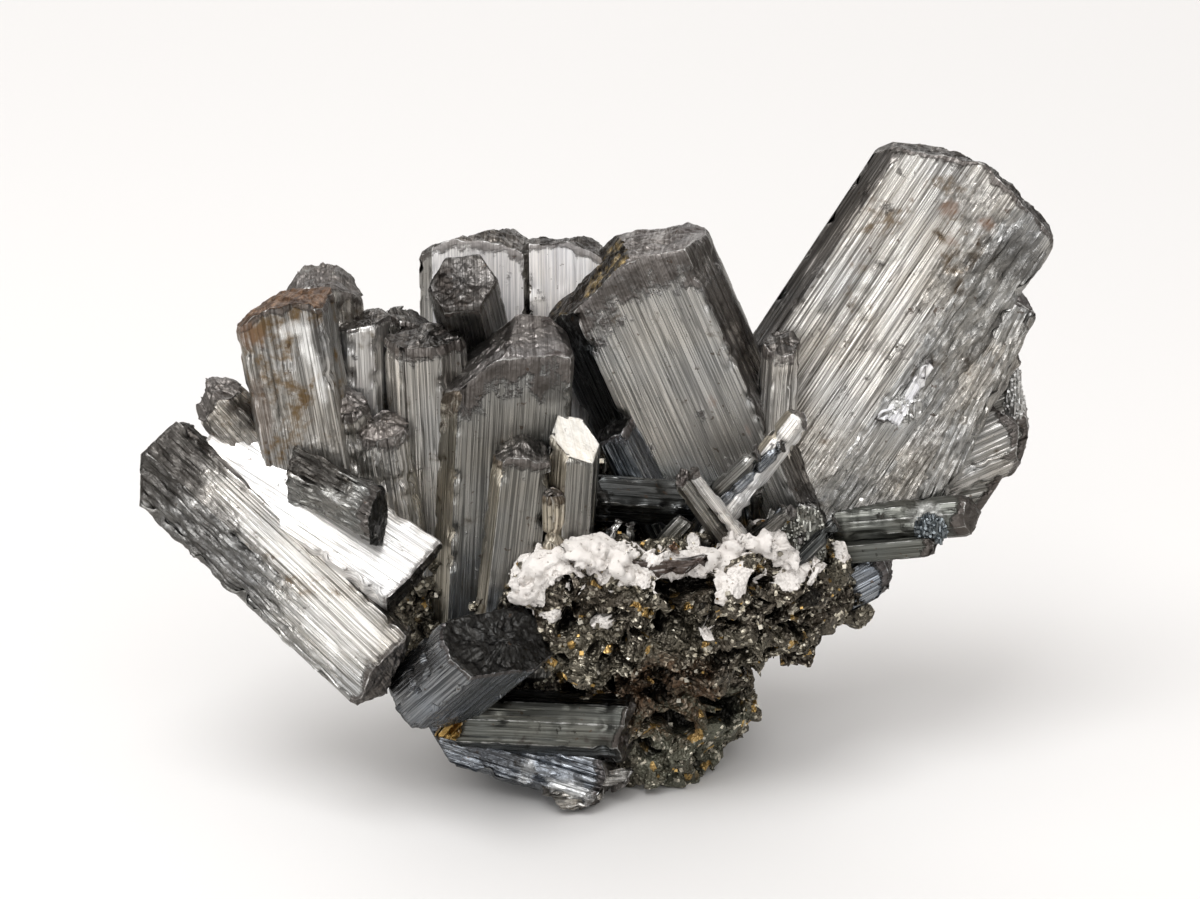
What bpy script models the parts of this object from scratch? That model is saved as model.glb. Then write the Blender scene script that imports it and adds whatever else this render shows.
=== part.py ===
"""Stibnite crystal spray: a cluster of striated prisms grown on a sulphide matrix with a white crust.

Metres, +Z up, +X to the right of the display side and +Y away from it. The origin is the centre
of the flat broken face that the matrix rests on. Crystals that grew into one another are one solid.
Neighbouring solids meet face to face, with GAP between them.
"""

import math
import random

import bmesh
import bpy
from mathutils import Matrix, Vector, noise

MM = 0.001
GAP = 0.3  # mm between neighbouring solids
CUT_MARGIN = 4.0  # mm by which a prism runs past the planes that end it
FLUTE_PITCH = 1.9  # mm across one coarse growth ridge
FLUTE_RELIEF = 0.22  # mm from ridge to groove
MERGE = 0.02  # mm, closer points are one

# Cross-sections, as shares of the half width and half depth. -Y is the display face.
BLADE = [(-1, -0.3), (-0.8, -1), (0.44, -1), (1, -0.55), (1, 0.4), (0.7, 1), (-0.75, 0.92), (-1, 0.3)]
TALL = [(-1, -0.4), (-0.72, -1), (0.94, -1), (1, -0.7), (0.96, 0.6), (0.6, 1), (-0.7, 0.96), (-1, 0.3)]
KEEL = [(-1, -0.15), (-0.72, -0.85), (0.22, -1), (1, -0.2), (0.85, 0.7), (-0.1, 1), (-0.8, 0.7)]
HEXAGON = [(-1, -0.1), (-0.52, -1), (0.5, -1), (1, 0.05), (0.5, 1), (-0.5, 0.96)]
SIX_SIDED = [(-1, 0), (-0.52, -1), (0.82, -1), (1, -0.15), (0.96, 0.5), (0.75, 1), (-0.6, 1)]
SLAB = [(-1, -0.7), (-0.9, -1), (0.92, -1), (1, -0.62), (1, 0.6), (0.88, 1), (-0.86, 1), (-1, 0.66)]
ROUND = [(-1, -0.3), (-0.72, -0.84), (-0.2, -1), (0.45, -0.95), (0.86, -0.6), (1, 0.1), (0.7, 0.8), (0, 1), (-0.7, 0.8)]
WEDGE = [(-1, -0.1), (-0.55, -0.95), (0.95, -1), (1, 0.4), (0.5, 1), (-0.6, 1)]


class Crystal:
    """A prism from root to tip, in mm. Ends are planes (turn, tilt, drop): the plane's normal leans from the
    axis by tilt degrees, towards the turn angle in the cross-section, and crosses the axis drop mm inside the end."""

    def __init__(self, root, tip, width, depth, shape=BLADE, facing=(0, -1, 0.3), top=((0, 0, 0),), foot=((0, 0, 0),)):
        self.root, self.tip = Vector(root), Vector(tip)
        self.width, self.depth, self.shape = width, depth, shape
        self.top, self.foot = top, foot
        along = (self.tip - self.root).normalized()
        front = Vector(facing)
        back = -(front - along * front.dot(along)).normalized()
        self.axes = Matrix((back.cross(along), back, along)).transposed()

    def outline(self, grow):
        """The cross-section's points, with coarse flutes on its longer sides."""
        half = (self.width / 2 + grow, self.depth / 2 + grow)
        corners = [Vector((x * half[0], y * half[1])) for x, y in self.shape]
        picks = random.Random(round(self.width * 100) + round(self.root.x * 10))
        points = []
        for start, end in zip(corners, corners[1:] + corners[:1]):
            points.append(start)
            side = end - start
            outward = Vector((side.y, -side.x)).normalized()
            count = int(side.length / FLUTE_PITCH)
            for step in range(1, count):
                share = (step + picks.uniform(-0.25, 0.25)) / count
                depth = FLUTE_RELIEF * (1 if step % 2 else -0.5) * picks.uniform(0.4, 1)
                points.append(start + side * share - outward * depth)
        return points

    def mesh(self, grow=0.0):
        """A closed bmesh of the crystal in mm, made larger all round by grow."""
        points = self.outline(grow)
        length = (self.tip - self.root).length
        bm = bmesh.new()
        bmesh.ops.create_circle(bm, cap_ends=True, segments=len(points), radius=1)
        for vert, point in zip(bm.verts, points):
            vert.co = (point.x, point.y, -CUT_MARGIN)
        raised = bmesh.ops.extrude_face_region(bm, geom=bm.faces[:])["geom"]
        upper = [item for item in raised if isinstance(item, bmesh.types.BMVert)]
        bmesh.ops.translate(bm, verts=upper, vec=(0, 0, length + 2 * CUT_MARGIN))
        for turn, tilt, drop in self.top:
            cut_end(bm, turn, tilt, length - drop + grow, 1)
        for turn, tilt, drop in self.foot:
            cut_end(bm, turn, tilt, drop - grow, -1)
        bmesh.ops.recalc_face_normals(bm, faces=bm.faces)
        bmesh.ops.transform(bm, matrix=Matrix.Translation(self.root) @ self.axes.to_4x4(), verts=bm.verts)
        return bm


def cut_end(bm, turn, tilt, height, way):
    """Cuts a prism by one end plane and fills the cut. way is 1 at the tip and -1 at the foot."""
    lean = math.sin(math.radians(tilt))
    angle = math.radians(turn)
    normal = Vector((lean * math.cos(angle), lean * math.sin(angle), way * math.cos(math.radians(tilt))))
    everything = bm.verts[:] + bm.edges[:] + bm.faces[:]
    bmesh.ops.bisect_plane(
        bm, geom=everything, dist=1e-5, plane_co=(0, 0, height), plane_no=normal, clear_outer=True
    )
    bmesh.ops.holes_fill(bm, edges=[edge for edge in bm.edges if edge.is_boundary])


# Each node's crystals, which overlap and are joined in one solid. The first of each is its main crystal.
# A later node is cut back from every earlier one.
SPRAY = {
    "needle_crystals": [
        Crystal((14.6, -6.5, 33.4), (9.6, -10, 42), 2.7, 2.8, HEXAGON, top=((180, 20, 0),)),
        Crystal((16.8, -7, 33.6), (11, -10.4, 42.8), 1.9, 2.4, HEXAGON, top=((180, 12, 0),)),
        Crystal((14.4, -5, 35.2), (23.8, -4.6, 48), 3.6, 3.8, HEXAGON, (0, -1, 0.5), top=((0, 30, 0), (180, 20, 0))),
        Crystal((13.4, -6, 35.2), (22.2, -7, 46), 2, 2.2, ROUND, top=((0, 20, 0),)),
        Crystal((13, -5.4, 37.6), (18.6, -7.4, 44.2), 2.4, 2.4, HEXAGON, top=((0, 30, 0),)),
    ],
    "lower_dark_crystal": [
        Crystal((-19.5, -8.5, 13.8), (-11.6, -19, 25.3), 15, 8.6, BLADE, (0.29, -0.53, -0.68),
                top=((90, 14, 0), (0, 20, -1)), foot=((180, 16, 0), (0, 30, 0))),
    ],
    "base_crystals": [
        Crystal((-17.5, -4, 8.2), (3.6, -8.8, 9.4), 8.8, 9.6, ROUND, (0, -1, 0.3), top=((0, 8, 0),), foot=((0, 30, 0),)),
        Crystal((-20, -3, 6.6), (2, -9, 2), 6.4, 10, SLAB, (0, -1, 0.3), top=((180, 30, 0), (0, 14, 1)), foot=((0, 48, 0.6),)),
    ],
    "lying_crystals": [
        Crystal((-53.6, -2.5, 42.8), (-24.6, -15.6, 19.2), 11.6, 9, KEEL, (0.08, -0.82, 0.57),
                top=((0, 22, -1.2), (180, 20, 0), (-90, 20, 0)), foot=((180, 42, -3.4), (0, 42, -1.2), (0, 0, 0.4))),
        Crystal((-46.5, 0.5, 42), (-21.8, -10.6, 29.2), 10.2, 8.4, SLAB, (0, -0.75, 0.66), top=((0, 6, 0), (90, 20, 0))),
        Crystal((-36, -5.5, 40.9), (-25, -13, 37.6), 7, 6.6, HEXAGON, (0, -0.7, 0.7),
                top=((-90, 10, 0), (180, 26, 1)), foot=((0, 22, 0),)),
        Crystal((-36, 1, 36), (-46.3, -1, 49.8), 7, 6.8, ROUND, (0, -1, 0.3), top=((0, 30, 0), (180, 30, 0))),
    ],
    "front_crystals": [
        Crystal((-13.5, 1, 14), (-11, 1, 56.2), 15.8, 12, TALL, (0.06, -1, 0),
                top=((-90, 6, 0), (180, 40, 0.4), (-100, 45, -4.8), (0, 30, -3.6))),
        Crystal((-12, -7.6, 20), (-9, -7.6, 45.8), 6.8, 6.4, TALL, (0.1, -1, 0), top=((180, 32, 0), (0, 20, 0), (-90, 20, 0))),
        Crystal((-4.6, -7, 22), (-2.9, -7.2, 46), 6.5, 6.8, HEXAGON, (0.25, -1, 0), top=((-60, 28, 0),)),
        Crystal((-5.4, -10.6, 27), (-5.5, -11, 41), 2.8, 3, HEXAGON, top=((0, 30, 0), (180, 20, 0))),
    ],
    "leaning_crystals": [
        Crystal((18.4, 7.1, 25.3), (1.6, 9.2, 63.9), 23.3, 12, SIX_SIDED, (-0.12, -1, 0),
                top=((0, 12, -0.6), (-95, 45, -5), (-160, 24, 0.3))),
        Crystal((10.5, 3.2, 26), (1.6, 4.2, 44.5), 6.4, 7, HEXAGON, (-0.3, -1, 0), top=((180, 30, 0), (-90, 20, 0))),
        Crystal((15, 2, 34), (-2, -2.4, 37), 6.4, 7, HEXAGON, (0, -0.8, 0.6), top=((180, 20, 0),)),
    ],
    "left_bundle": [
        Crystal((-32.9, -1.4, 30), (-37.5, 0, 61), 11.6, 10, TALL, (-0.15, -1, 0), top=((180, 26, -0.4), (90, 4, 0), (0, 35, -3.4))),
        Crystal((-31, 8.4, 32), (-33.8, 8.4, 61.2), 10.4, 9.4, ROUND, top=((0, 40, -1.6), (180, 37, -1.5), (0, 0, 0))),
        Crystal((-28.2, 4.5, 30), (-28.3, 4.5, 57.4), 6.8, 7.6, HEXAGON, top=((180, 14, 0.3), (90, 4, 0))),
        Crystal((-22.2, 8.6, 30), (-23, 8.8, 55.9), 6.4, 6.8, HEXAGON, (0.2, -1, 0.2), top=((0, 22, 0),)),
        Crystal((-20, 2, 26), (-20.9, 2.2, 55.6), 10, 8.4, HEXAGON, (-0.1, -1, 0), top=((-90, 2, 0),)),
        Crystal((-24, -2.6, 30), (-26, -2.8, 47), 7, 6.4, ROUND, top=((180, 22, 0), (-90, 30, 0), (0, 20, 0))),
        Crystal((-28, -1, 34), (-30, -2.4, 49.6), 5.2, 6, ROUND, top=((0, 22, 0), (-90, 20, 0))),
    ],
    "right_crystals": [
        Crystal((17.4, 9.5, 27.8), (46.4, 14.3, 72.8), 24.4, 11, BLADE, (-0.12, -0.98, 0.18),
                top=((180, 24, -1.4), (90, 8, 0), (0, 13, -0.9), (0, 40, -7.4), (180, 50, -9.6))),
        Crystal((38.6, 7.6, 31), (51, 11.4, 58.4), 5.6, 6.4, WEDGE, (0.05, -1, 0.15), top=((0, 30, 0), (-90, 20, 0))),
        Crystal((30, 8, 23.6), (48.8, 12.2, 53.4), 9, 9, BLADE, (0, -1, 0.15), top=((0, 26, 0), (180, 20, 0), (-90, 20, -1))),
        Crystal((28, 11, 32), (53, 18, 41.6), 14.6, 8, SLAB, (0, -1, 0.3), top=((180, 26, -0.4), (0, 38, -0.6), (-90, 20, 0))),
        Crystal((28, 8.6, 31), (51.2, 12.6, 40.6), 10, 7, BLADE, (0.1, -1, 0.3), top=((0, 25, 0), (180, 30, 0))),
        Crystal((30, 11.5, 28.6), (48, 13, 32), 6, 8, SLAB, (0, -1, 0.1), top=((0, 40, 0),)),
        Crystal((29, 6.4, 29.6), (46.4, 3.4, 32.4), 5.4, 6.2, ROUND, (0, -1, 0.3), top=((0, 30, 0), (-90, 30, 0), (180, 30, 0))),
        Crystal((28, 5, 26.9), (41.1, 3, 29), 2.4, 8, SLAB, (0, -1, 0.2), top=((0, 10, 0),)),
        Crystal((25, 7, 19.4), (35.8, 6.4, 26), 6.4, 8.6, WEDGE, (0, -1, 0.1), top=((0, 34, 0), (-90, 20, -1))),
        Crystal((23, 15, 24), (33, 24.5, 41), 10, 8, TALL, (0, -1, 0.4), top=((0, 30, 0), (90, 20, 0))),
        Crystal((21, 4.4, 38), (21.8, 3.2, 54.7), 5, 6, HEXAGON, (0.1, -1, 0.2), top=((180, 10, 0), (-90, 10, 0))),
    ],
    "back_crystals": [
        Crystal((-15.4, 16.5, 27), (-15.3, 16.5, 63.2), 13.6, 9, TALL, (-0.05, -1, 0),
                top=((133, 24, -0.6), (0, 4, -1.2), (0, 25, -2.6), (180, 40, -4.4))),
        Crystal((-4, 16, 27), (-4.3, 16, 63.2), 10, 8, SLAB, (0.05, -1, 0), top=((90, 12, -0.2), (0, 26, -1))),
        Crystal((-1, 18, 25), (5, 25.5, 45), 9, 8, BLADE, (0, -1, 0.3), top=((90, 20, 0), (0, 30, 0))),
        Crystal((-18, 18, 25), (-25, 25, 41), 8, 7, HEXAGON, (0, -1, 0.3), top=((180, 30, 0), (90, 15, 0))),
        Crystal((-14.7, 14.9, 48.7), (-16.4, 4, 61.8), 8.6, 8.4, HEXAGON, (0, -1, -0.6), top=((0, 0, 0), (90, 35, -2.4), (-90, 35, -2.4))),
    ],
}
COLOURS = {
    "right_crystals": (0.52, 0.51, 0.49),
    "leaning_crystals": (0.36, 0.37, 0.38),
    "front_crystals": (0.35, 0.35, 0.34),
    "left_bundle": (0.47, 0.45, 0.41),
    "back_crystals": (0.55, 0.57, 0.6),
    "lying_crystals": (0.6, 0.6, 0.6),
    "lower_dark_crystal": (0.22, 0.24, 0.27),
    "base_crystals": (0.28, 0.3, 0.32),
    "needle_crystals": (0.4, 0.42, 0.4),
    "matrix": (0.2, 0.16, 0.1),
    "white_crust": (0.86, 0.84, 0.8),
}

# Rounded masses of the matrix, in mm: centre and radii. They run together into one lump.
MATRIX_LUMPS = [
    ((-3, -9.5, 28.5), (8, 6, 5.5)),
    ((5, -10, 29), (9, 6.5, 5)),
    ((12, -8, 27), (9, 7, 6.5)),
    ((20, -3, 27.5), (9, 8, 6)),
    ((3, -7.5, 22), (10, 7, 6)),
    ((13, -6, 20), (8.5, 6.5, 6)),
    ((22, 0, 21), (7, 7, 6)),
    ((28, 4, 21.6), (4.6, 6, 4.4)),
    ((-7, -8, 24), (7, 6, 6)),
    ((11.4, -1, 9), (7.4, 7, 7.6)),
    ((8, -3, 4.6), (5, 5, 4.5)),
    ((3, 3, 11.5), (14, 12, 14)),
    ((-8, 8, 11), (12, 10, 13.4)),
    ((6, 13, 8.5), (13, 9, 10.6)),
    ((-16, 6, 24), (12, 10, 9)),
    ((-20, 1, 19), (6.5, 6, 6.5)),
    ((-28, 5, 32), (8, 7, 7)),
    ((14, 11, 24), (15, 9, 11)),
    ((-10, 14, 30), (14, 8, 9)),
]
# Hollows in it: centre and radii.
MATRIX_HOLLOWS = [
    ((5, -14.5, 15.5), (6.5, 5, 2.6)),
    ((8.5, -14.5, 23.6), (5, 4, 1.7)),
    ((-1, -17, 27.4), (3.4, 3, 1.3)),
    ((17.5, -9.5, 15), (3, 4, 3)),
    ((22.5, -6.5, 24.6), (1.6, 4, 3)),
]
CRUST_LUMPS = [
    ((-9.2, -13.6, 29), (3.2, 3, 3)),
    ((-6.2, -12.6, 31.6), (4, 4, 2.8)),
    ((-1.4, -12.6, 33.6), (4.6, 4, 2.4)),
    ((2.6, -13.4, 33), (4.4, 3.6, 2.4)),
    ((7.4, -13, 32.4), (4.4, 3.6, 1.9)),
    ((11.6, -11.6, 32.4), (3.4, 3.4, 2)),
    ((15, -10.4, 30.8), (2.8, 3, 2.6)),
    ((16.8, -9, 33.4), (3, 2.8, 2)),
    ((20.4, -8, 33), (2.2, 2.8, 2.6)),
    ((23.2, -7.2, 30.4), (2.4, 2.8, 2)),
]
MATRIX_SKIN = (6.0, 1.9)  # mm across and mm high of one knob
MATRIX_VOXEL = 2.6  # mm
CRUST_SKIN = (4.6, 0.8)
CRUST_VOXEL = 1.6
NOISE_SEED = 7
REST_Z = 0.0  # the flat broken face


def new_object(name, bm, collection):
    """Turns a bmesh in mm into an object in metres."""
    bmesh.ops.scale(bm, vec=(MM, MM, MM), verts=bm.verts)
    mesh = bpy.data.meshes.new(name)
    bm.to_mesh(mesh)
    bm.free()
    obj = bpy.data.objects.new(name, mesh)
    collection.objects.link(obj)
    return obj


def finish_material(obj):
    """Gives an object its own mineral finish."""
    material = bpy.data.materials.new(obj.name)
    material.use_nodes = True
    shader = material.node_tree.nodes["Principled BSDF"]
    shader.inputs["Base Color"].default_value = (*COLOURS[obj.name], 1)
    shader.inputs["Metallic"].default_value = 0.0 if obj.name == "white_crust" else 0.9
    shader.inputs["Roughness"].default_value = 0.85 if obj.name == "white_crust" else 0.35
    obj.data.materials.clear()
    obj.data.materials.append(material)


def boolean(obj, cutter, operation):
    """Applies one exact Boolean to obj at once."""
    modifier = obj.modifiers.new("boolean", "BOOLEAN")
    modifier.operation = operation
    modifier.object = cutter
    graph = bpy.context.evaluated_depsgraph_get()
    made = bpy.data.meshes.new_from_object(obj.evaluated_get(graph))
    obj.modifiers.remove(modifier)
    obj.data = made


def overlap_boxes(first, second):
    """True if two objects' boxes meet. Both have their place in their mesh."""
    one = [Vector(corner) for corner in first.bound_box]
    two = [Vector(corner) for corner in second.bound_box]
    return all(
        min(p[i] for p in one) < max(p[i] for p in two) and min(p[i] for p in two) < max(p[i] for p in one)
        for i in range(3)
    )


def keep_largest(obj):
    """Removes the loose chips that a cut leaves, and keeps the largest body."""
    bm = bmesh.new()
    bm.from_mesh(obj.data)
    bmesh.ops.remove_doubles(bm, verts=bm.verts, dist=MERGE * MM)
    bmesh.ops.dissolve_degenerate(bm, dist=MERGE * MM, edges=bm.edges)
    bodies = []
    left = set(bm.faces)
    while left:
        stack = [left.pop()]
        body = set(stack)
        while stack:
            for edge in stack.pop().edges:
                for face in edge.link_faces:
                    if face in left:
                        left.remove(face)
                        body.add(face)
                        stack.append(face)
        bodies.append(body)
    bodies.sort(key=len)
    for body in bodies[:-1]:
        bmesh.ops.delete(bm, geom=list(body), context="FACES")
    bm.to_mesh(obj.data)
    bm.free()


def rugged_masses(masses, knob, relief, grow=0.0):
    """Ellipsoids in mm with a knobbly skin, each made larger all round by grow, as one bmesh."""
    bm = bmesh.new()
    for centre, radii in masses:
        place = Matrix.Translation(centre) @ Matrix.Diagonal([radius + grow for radius in radii] + [1])
        bmesh.ops.create_icosphere(bm, subdivisions=5, radius=1, matrix=place)
    for vert in bm.verts:
        coarse = noise.noise_vector(vert.co / knob)
        fine = noise.noise_vector(vert.co * 2.1 / knob)
        vert.co += (coarse + fine * 0.5) * relief
    return bm


def lump(name, bm, voxel, collection):
    """Masses that overlap, run together in one solid by a voxel remesh."""
    obj = new_object(name, bm, collection)
    remesh = obj.modifiers.new("run together", "REMESH")
    remesh.mode = "VOXEL"
    remesh.voxel_size = voxel * MM
    graph = bpy.context.evaluated_depsgraph_get()
    made = bpy.data.meshes.new_from_object(obj.evaluated_get(graph))
    obj.modifiers.clear()
    obj.data = made
    return obj


def joined(name, meshes, collection, work):
    """Joins closed meshes that overlap in one solid."""
    node = new_object(name, meshes[0], collection)
    for mesh in meshes[1:]:
        other = new_object("joined", mesh, work)
        boolean(node, other, "UNION")
        bpy.data.objects.remove(other)
    return node


def rest_flat(obj):
    """Cuts an object flat at the plane it rests on."""
    bm = bmesh.new()
    bm.from_mesh(obj.data)
    everything = bm.verts[:] + bm.edges[:] + bm.faces[:]
    bmesh.ops.bisect_plane(
        bm, geom=everything, dist=1e-7, plane_co=(0, 0, REST_Z), plane_no=(0, 0, -1), clear_outer=True
    )
    bmesh.ops.holes_fill(bm, edges=[edge for edge in bm.edges if edge.is_boundary])
    bmesh.ops.triangulate(bm, faces=bm.faces)
    bm.to_mesh(obj.data)
    bm.free()


def build():
    for obj in list(bpy.data.objects):
        bpy.data.objects.remove(obj)
    noise.seed_set(NOISE_SEED)
    spray = bpy.data.collections.new("stibnite crystal spray")
    cutters = bpy.data.collections.new("cutters")
    for collection in (spray, cutters):
        bpy.context.scene.collection.children.link(collection)
    cutters.hide_render = True

    grown = []
    for name, crystals in SPRAY.items():
        node = joined(name, [crystal.mesh() for crystal in crystals], spray, cutters)
        rest_flat(node)
        cut_back(node, grown)
        finish_material(node)
        grown += [new_object("cutter", crystal.mesh(GAP), cutters) for crystal in crystals]
    crust = lump("white_crust", rugged_masses(CRUST_LUMPS, *CRUST_SKIN), CRUST_VOXEL, spray)
    cut_back(crust, grown)
    finish_material(crust)
    grown.append(lump("cutter", rugged_masses(CRUST_LUMPS, *CRUST_SKIN, GAP), CRUST_VOXEL, cutters))
    for hollow in MATRIX_HOLLOWS:
        grown.append(lump("cutter", rugged_masses([hollow], *MATRIX_SKIN), CRUST_VOXEL, cutters))
    matrix = lump("matrix", rugged_masses(MATRIX_LUMPS, *MATRIX_SKIN), MATRIX_VOXEL, spray)
    rest_flat(matrix)
    cut_back(matrix, grown)
    finish_material(matrix)
    for cutter in cutters.objects:
        cutter.hide_render = True
        cutter.display_type = "WIRE"


def cut_back(node, cutters):
    """Cuts a node back from everything it would overlap."""
    for cutter in cutters:
        if overlap_boxes(node, cutter):
            boolean(node, cutter, "DIFFERENCE")
    keep_largest(node)


if __name__ == "__main__":
    build()
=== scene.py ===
"""Stibnite crystal spray: the fine surfaces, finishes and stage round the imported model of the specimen.

Every crystal of the model is grown here again from the same root, tip and cross-section, with its growth
lines, plates, frosted end and chips. The matrix gets its grains, cavities and crust. Shapes are in mm, and
are scaled to metres as each piece is finished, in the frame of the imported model.
"""

import math
import random

import bmesh
import bpy
from bpy.props import FloatProperty, FloatVectorProperty, IntProperty, PointerProperty
from mathutils import Matrix, Vector, noise


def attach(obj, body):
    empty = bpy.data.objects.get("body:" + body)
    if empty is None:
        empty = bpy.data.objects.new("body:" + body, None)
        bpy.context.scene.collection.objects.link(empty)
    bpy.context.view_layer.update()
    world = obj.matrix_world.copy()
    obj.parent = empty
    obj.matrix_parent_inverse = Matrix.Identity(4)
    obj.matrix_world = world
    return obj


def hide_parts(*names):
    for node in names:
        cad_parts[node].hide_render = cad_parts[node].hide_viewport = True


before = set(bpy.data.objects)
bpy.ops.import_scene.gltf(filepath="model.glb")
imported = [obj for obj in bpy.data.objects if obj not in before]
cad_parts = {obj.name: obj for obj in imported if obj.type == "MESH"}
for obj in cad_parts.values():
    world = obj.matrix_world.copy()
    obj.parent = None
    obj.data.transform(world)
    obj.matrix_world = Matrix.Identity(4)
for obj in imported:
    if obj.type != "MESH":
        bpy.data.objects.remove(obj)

bl_info = {
    "name": "Stibnite crystal spray",
    "version": (1, 0, 0),
    "blender": (4, 5, 0),
    "location": "View3D > Sidebar > Stibnite",
    "description": "Grows the crystals, matrix and crust of a stibnite specimen, and sets a stage",
    "category": "Add Mesh",
}

MM = 0.001
BODY = "root"
NOISE_SEED = 7

# Cross-sections, as shares of the half width and half depth. -Y is the display face.
BLADE = [(-1, -0.3), (-0.8, -1), (0.44, -1), (1, -0.55), (1, 0.4), (0.7, 1), (-0.75, 0.92), (-1, 0.3)]
TALL = [(-1, -0.4), (-0.72, -1), (0.94, -1), (1, -0.7), (0.96, 0.6), (0.6, 1), (-0.7, 0.96), (-1, 0.3)]
KEEL = [(-1, -0.15), (-0.72, -0.85), (0.22, -1), (1, -0.2), (0.85, 0.7), (-0.1, 1), (-0.8, 0.7)]
HEXAGON = [(-1, -0.1), (-0.52, -1), (0.5, -1), (1, 0.05), (0.5, 1), (-0.5, 0.96)]
SIX_SIDED = [(-1, 0), (-0.52, -1), (0.82, -1), (1, -0.15), (0.96, 0.5), (0.75, 1), (-0.6, 1)]
SLAB = [(-1, -0.7), (-0.9, -1), (0.92, -1), (1, -0.62), (1, 0.6), (0.88, 1), (-0.86, 1), (-1, 0.66)]
ROUND = [
    (-1, -0.3), (-0.72, -0.84), (-0.2, -1), (0.45, -0.95), (0.86, -0.6), (1, 0.1), (0.7, 0.8), (0, 1),
    (-0.7, 0.8),
]
WEDGE = [(-1, -0.1), (-0.55, -0.95), (0.95, -1), (1, 0.4), (0.5, 1), (-0.6, 1)]

# Growth, in mm. A pair is across and along the crystal, or the least and the most.
FINE_PITCH = 0.23  # across one growth line
FINE_RELIEF = 0.075
BROAD_PITCH = 0.9  # across one group of lines
BROAD_RELIEF = 0.03
LINE_LENGTH = 60.0
FLAKE_SIZE = (0.55, 3.1)
FLAKE_RELIEF = 0.07
FLAKY_PATCH = (4.0, 7.0)
GROOVE_PITCH = 1.0
GROOVE_REACH = 0.07  # how far from zero the noise may be in a groove
GROOVE_DEPTH = 0.1
PLATE_WIDTH = (0.6, 3.4)
PLATE_LENGTH = (4.0, 24.0)
PLATE_LEVEL = (-0.38, 0.12)
PLATE_RAGGEDNESS = 1.2
DULL_SWELL = 1.5
DULL_SWELL_HEIGHT = 0.3
DULL_LUMP = (1.3, 2.2)
DULL_LUMP_HEIGHT = 0.7
PIT_DEPTH = 0.45
CHIP_REACH = 1.1
CHIP_DEPTH = 2.6
RIM_WEAR = (0.5, 0.22)  # how far below the tip's rim it reaches, and how deep
CORNER_WEAR = (0.35, 0.06)  # how far from a long edge it reaches, and how deep
BRIGHT_EDGE = 0.45
END_ROUGHNESS = 0.42
END_SWELL = 3.2
END_BUMP = 0.7
END_STEP = 2.6
TERRACE = 0.34  # height of one growth step on an end
END_CREASE = math.radians(16)
FOOT_RINGS = 6
ROW_STRETCH = 2.4  # how much longer than wide the cells of the long faces are
LAYERS = ("coat", "edge", "stain", "bright", "dull", "dark")

# Rounded masses of the matrix, in mm: centre and radii. They run together into one lump.
MATRIX_LUMPS = [
    ((-3, -9.5, 28.5), (8, 6, 5.5)),
    ((5, -10, 29), (9, 6.5, 5)),
    ((12, -8, 27), (9, 7, 6.5)),
    ((20, -3, 27.5), (9, 8, 6)),
    ((3, -7.5, 22), (10, 7, 6)),
    ((13, -6, 20), (8.5, 6.5, 6)),
    ((22, 0, 21), (7, 7, 6)),
    ((28, 4, 21.6), (4.6, 6, 4.4)),
    ((-7, -8, 24), (7, 6, 6)),
    ((11.4, -1, 9), (7.4, 7, 7.6)),
    ((8, -3, 4.6), (5, 5, 4.5)),
    ((3, 3, 11.5), (14, 12, 14)),
    ((-8, 8, 11), (12, 10, 13.4)),
    ((6, 13, 8.5), (13, 9, 10.6)),
    ((-16, 6, 24), (12, 10, 9)),
    ((-20, 1, 19), (6.5, 6, 6.5)),
    ((-28, 5, 32), (8, 7, 7)),
    ((14, 11, 24), (15, 9, 11)),
    ((-10, 14, 30), (14, 8, 9)),
]

# Hollows cut from them, in mm: centre and radii.
MATRIX_HOLLOWS = [
    ((6.5, -14.5, 15.2), (7.0, 6.5, 3.2)),
    ((8.5, -14.5, 23.6), (5, 4, 1.7)),
    ((-1, -17, 27.4), (3.4, 3, 1.3)),
    ((17.5, -9.5, 15), (3, 4, 3)),
    ((22.5, -6.5, 24.6), (1.6, 4, 3)),
]

# Masses of the crust, in mm: centre and radii.
CRUST_LUMPS = [
    ((-9.0, -13.4, 29.4), (2.5, 2.4, 2.6)),
    ((-6.4, -12.6, 31.4), (3.6, 3.6, 2.6)),
    ((-1.4, -12.6, 33.6), (4.6, 4, 2.4)),
    ((2.6, -13.4, 33), (4.4, 3.6, 2.4)),
    ((7.4, -13, 32.4), (4.4, 3.6, 1.9)),
    ((11.6, -11.6, 32.4), (3.4, 3.4, 2)),
    ((15, -10.4, 30.8), (2.8, 3, 2.6)),
    ((16.8, -9, 33.4), (3, 2.8, 2)),
    ((20.4, -8, 33), (2.2, 2.8, 2.6)),
    ((23.2, -7.2, 30.4), (2.4, 2.8, 2)),
]

# Skins of the matrix and the crust, in mm.
REST_Z = 0.0
MATRIX_SKIN = (6.0, 1.9)  # mm across and mm high of one knob
MATRIX_VOXEL = 0.44
FOLD_SIZES = ((3.4, 2.1), (1.3, 0.8))  # mm across and mm high
GRAIN_SIZE = 1.25
GRAIN_HEIGHT = 0.9
CAVITY_SIZE = 3.0
CAVITY_DEPTH = 2.8
CAVITY_START = 0.16  # how far below zero the noise is where one starts
CAVITY_STEEPNESS = 14.0  # mm deeper for each unit of noise
COAT_THICKNESS = 0.35
CRUST_SKIN = (4.6, 0.7)
CRUST_VOXEL = 0.3
CRUST_SHRINK = 0.84
CRUST_BUMPS = ((0.5, 0.1, 4), (2.2, 0.3, 5))  # mm across, mm high and the noise's seed
CRUST_HOLLOW = 2.9
CRUST_HOLLOW_DEPTH = 2.4
CRUST_HOLLOW_START = 0.06
CRUST_HOLLOW_STEEPNESS = 6.0

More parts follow.
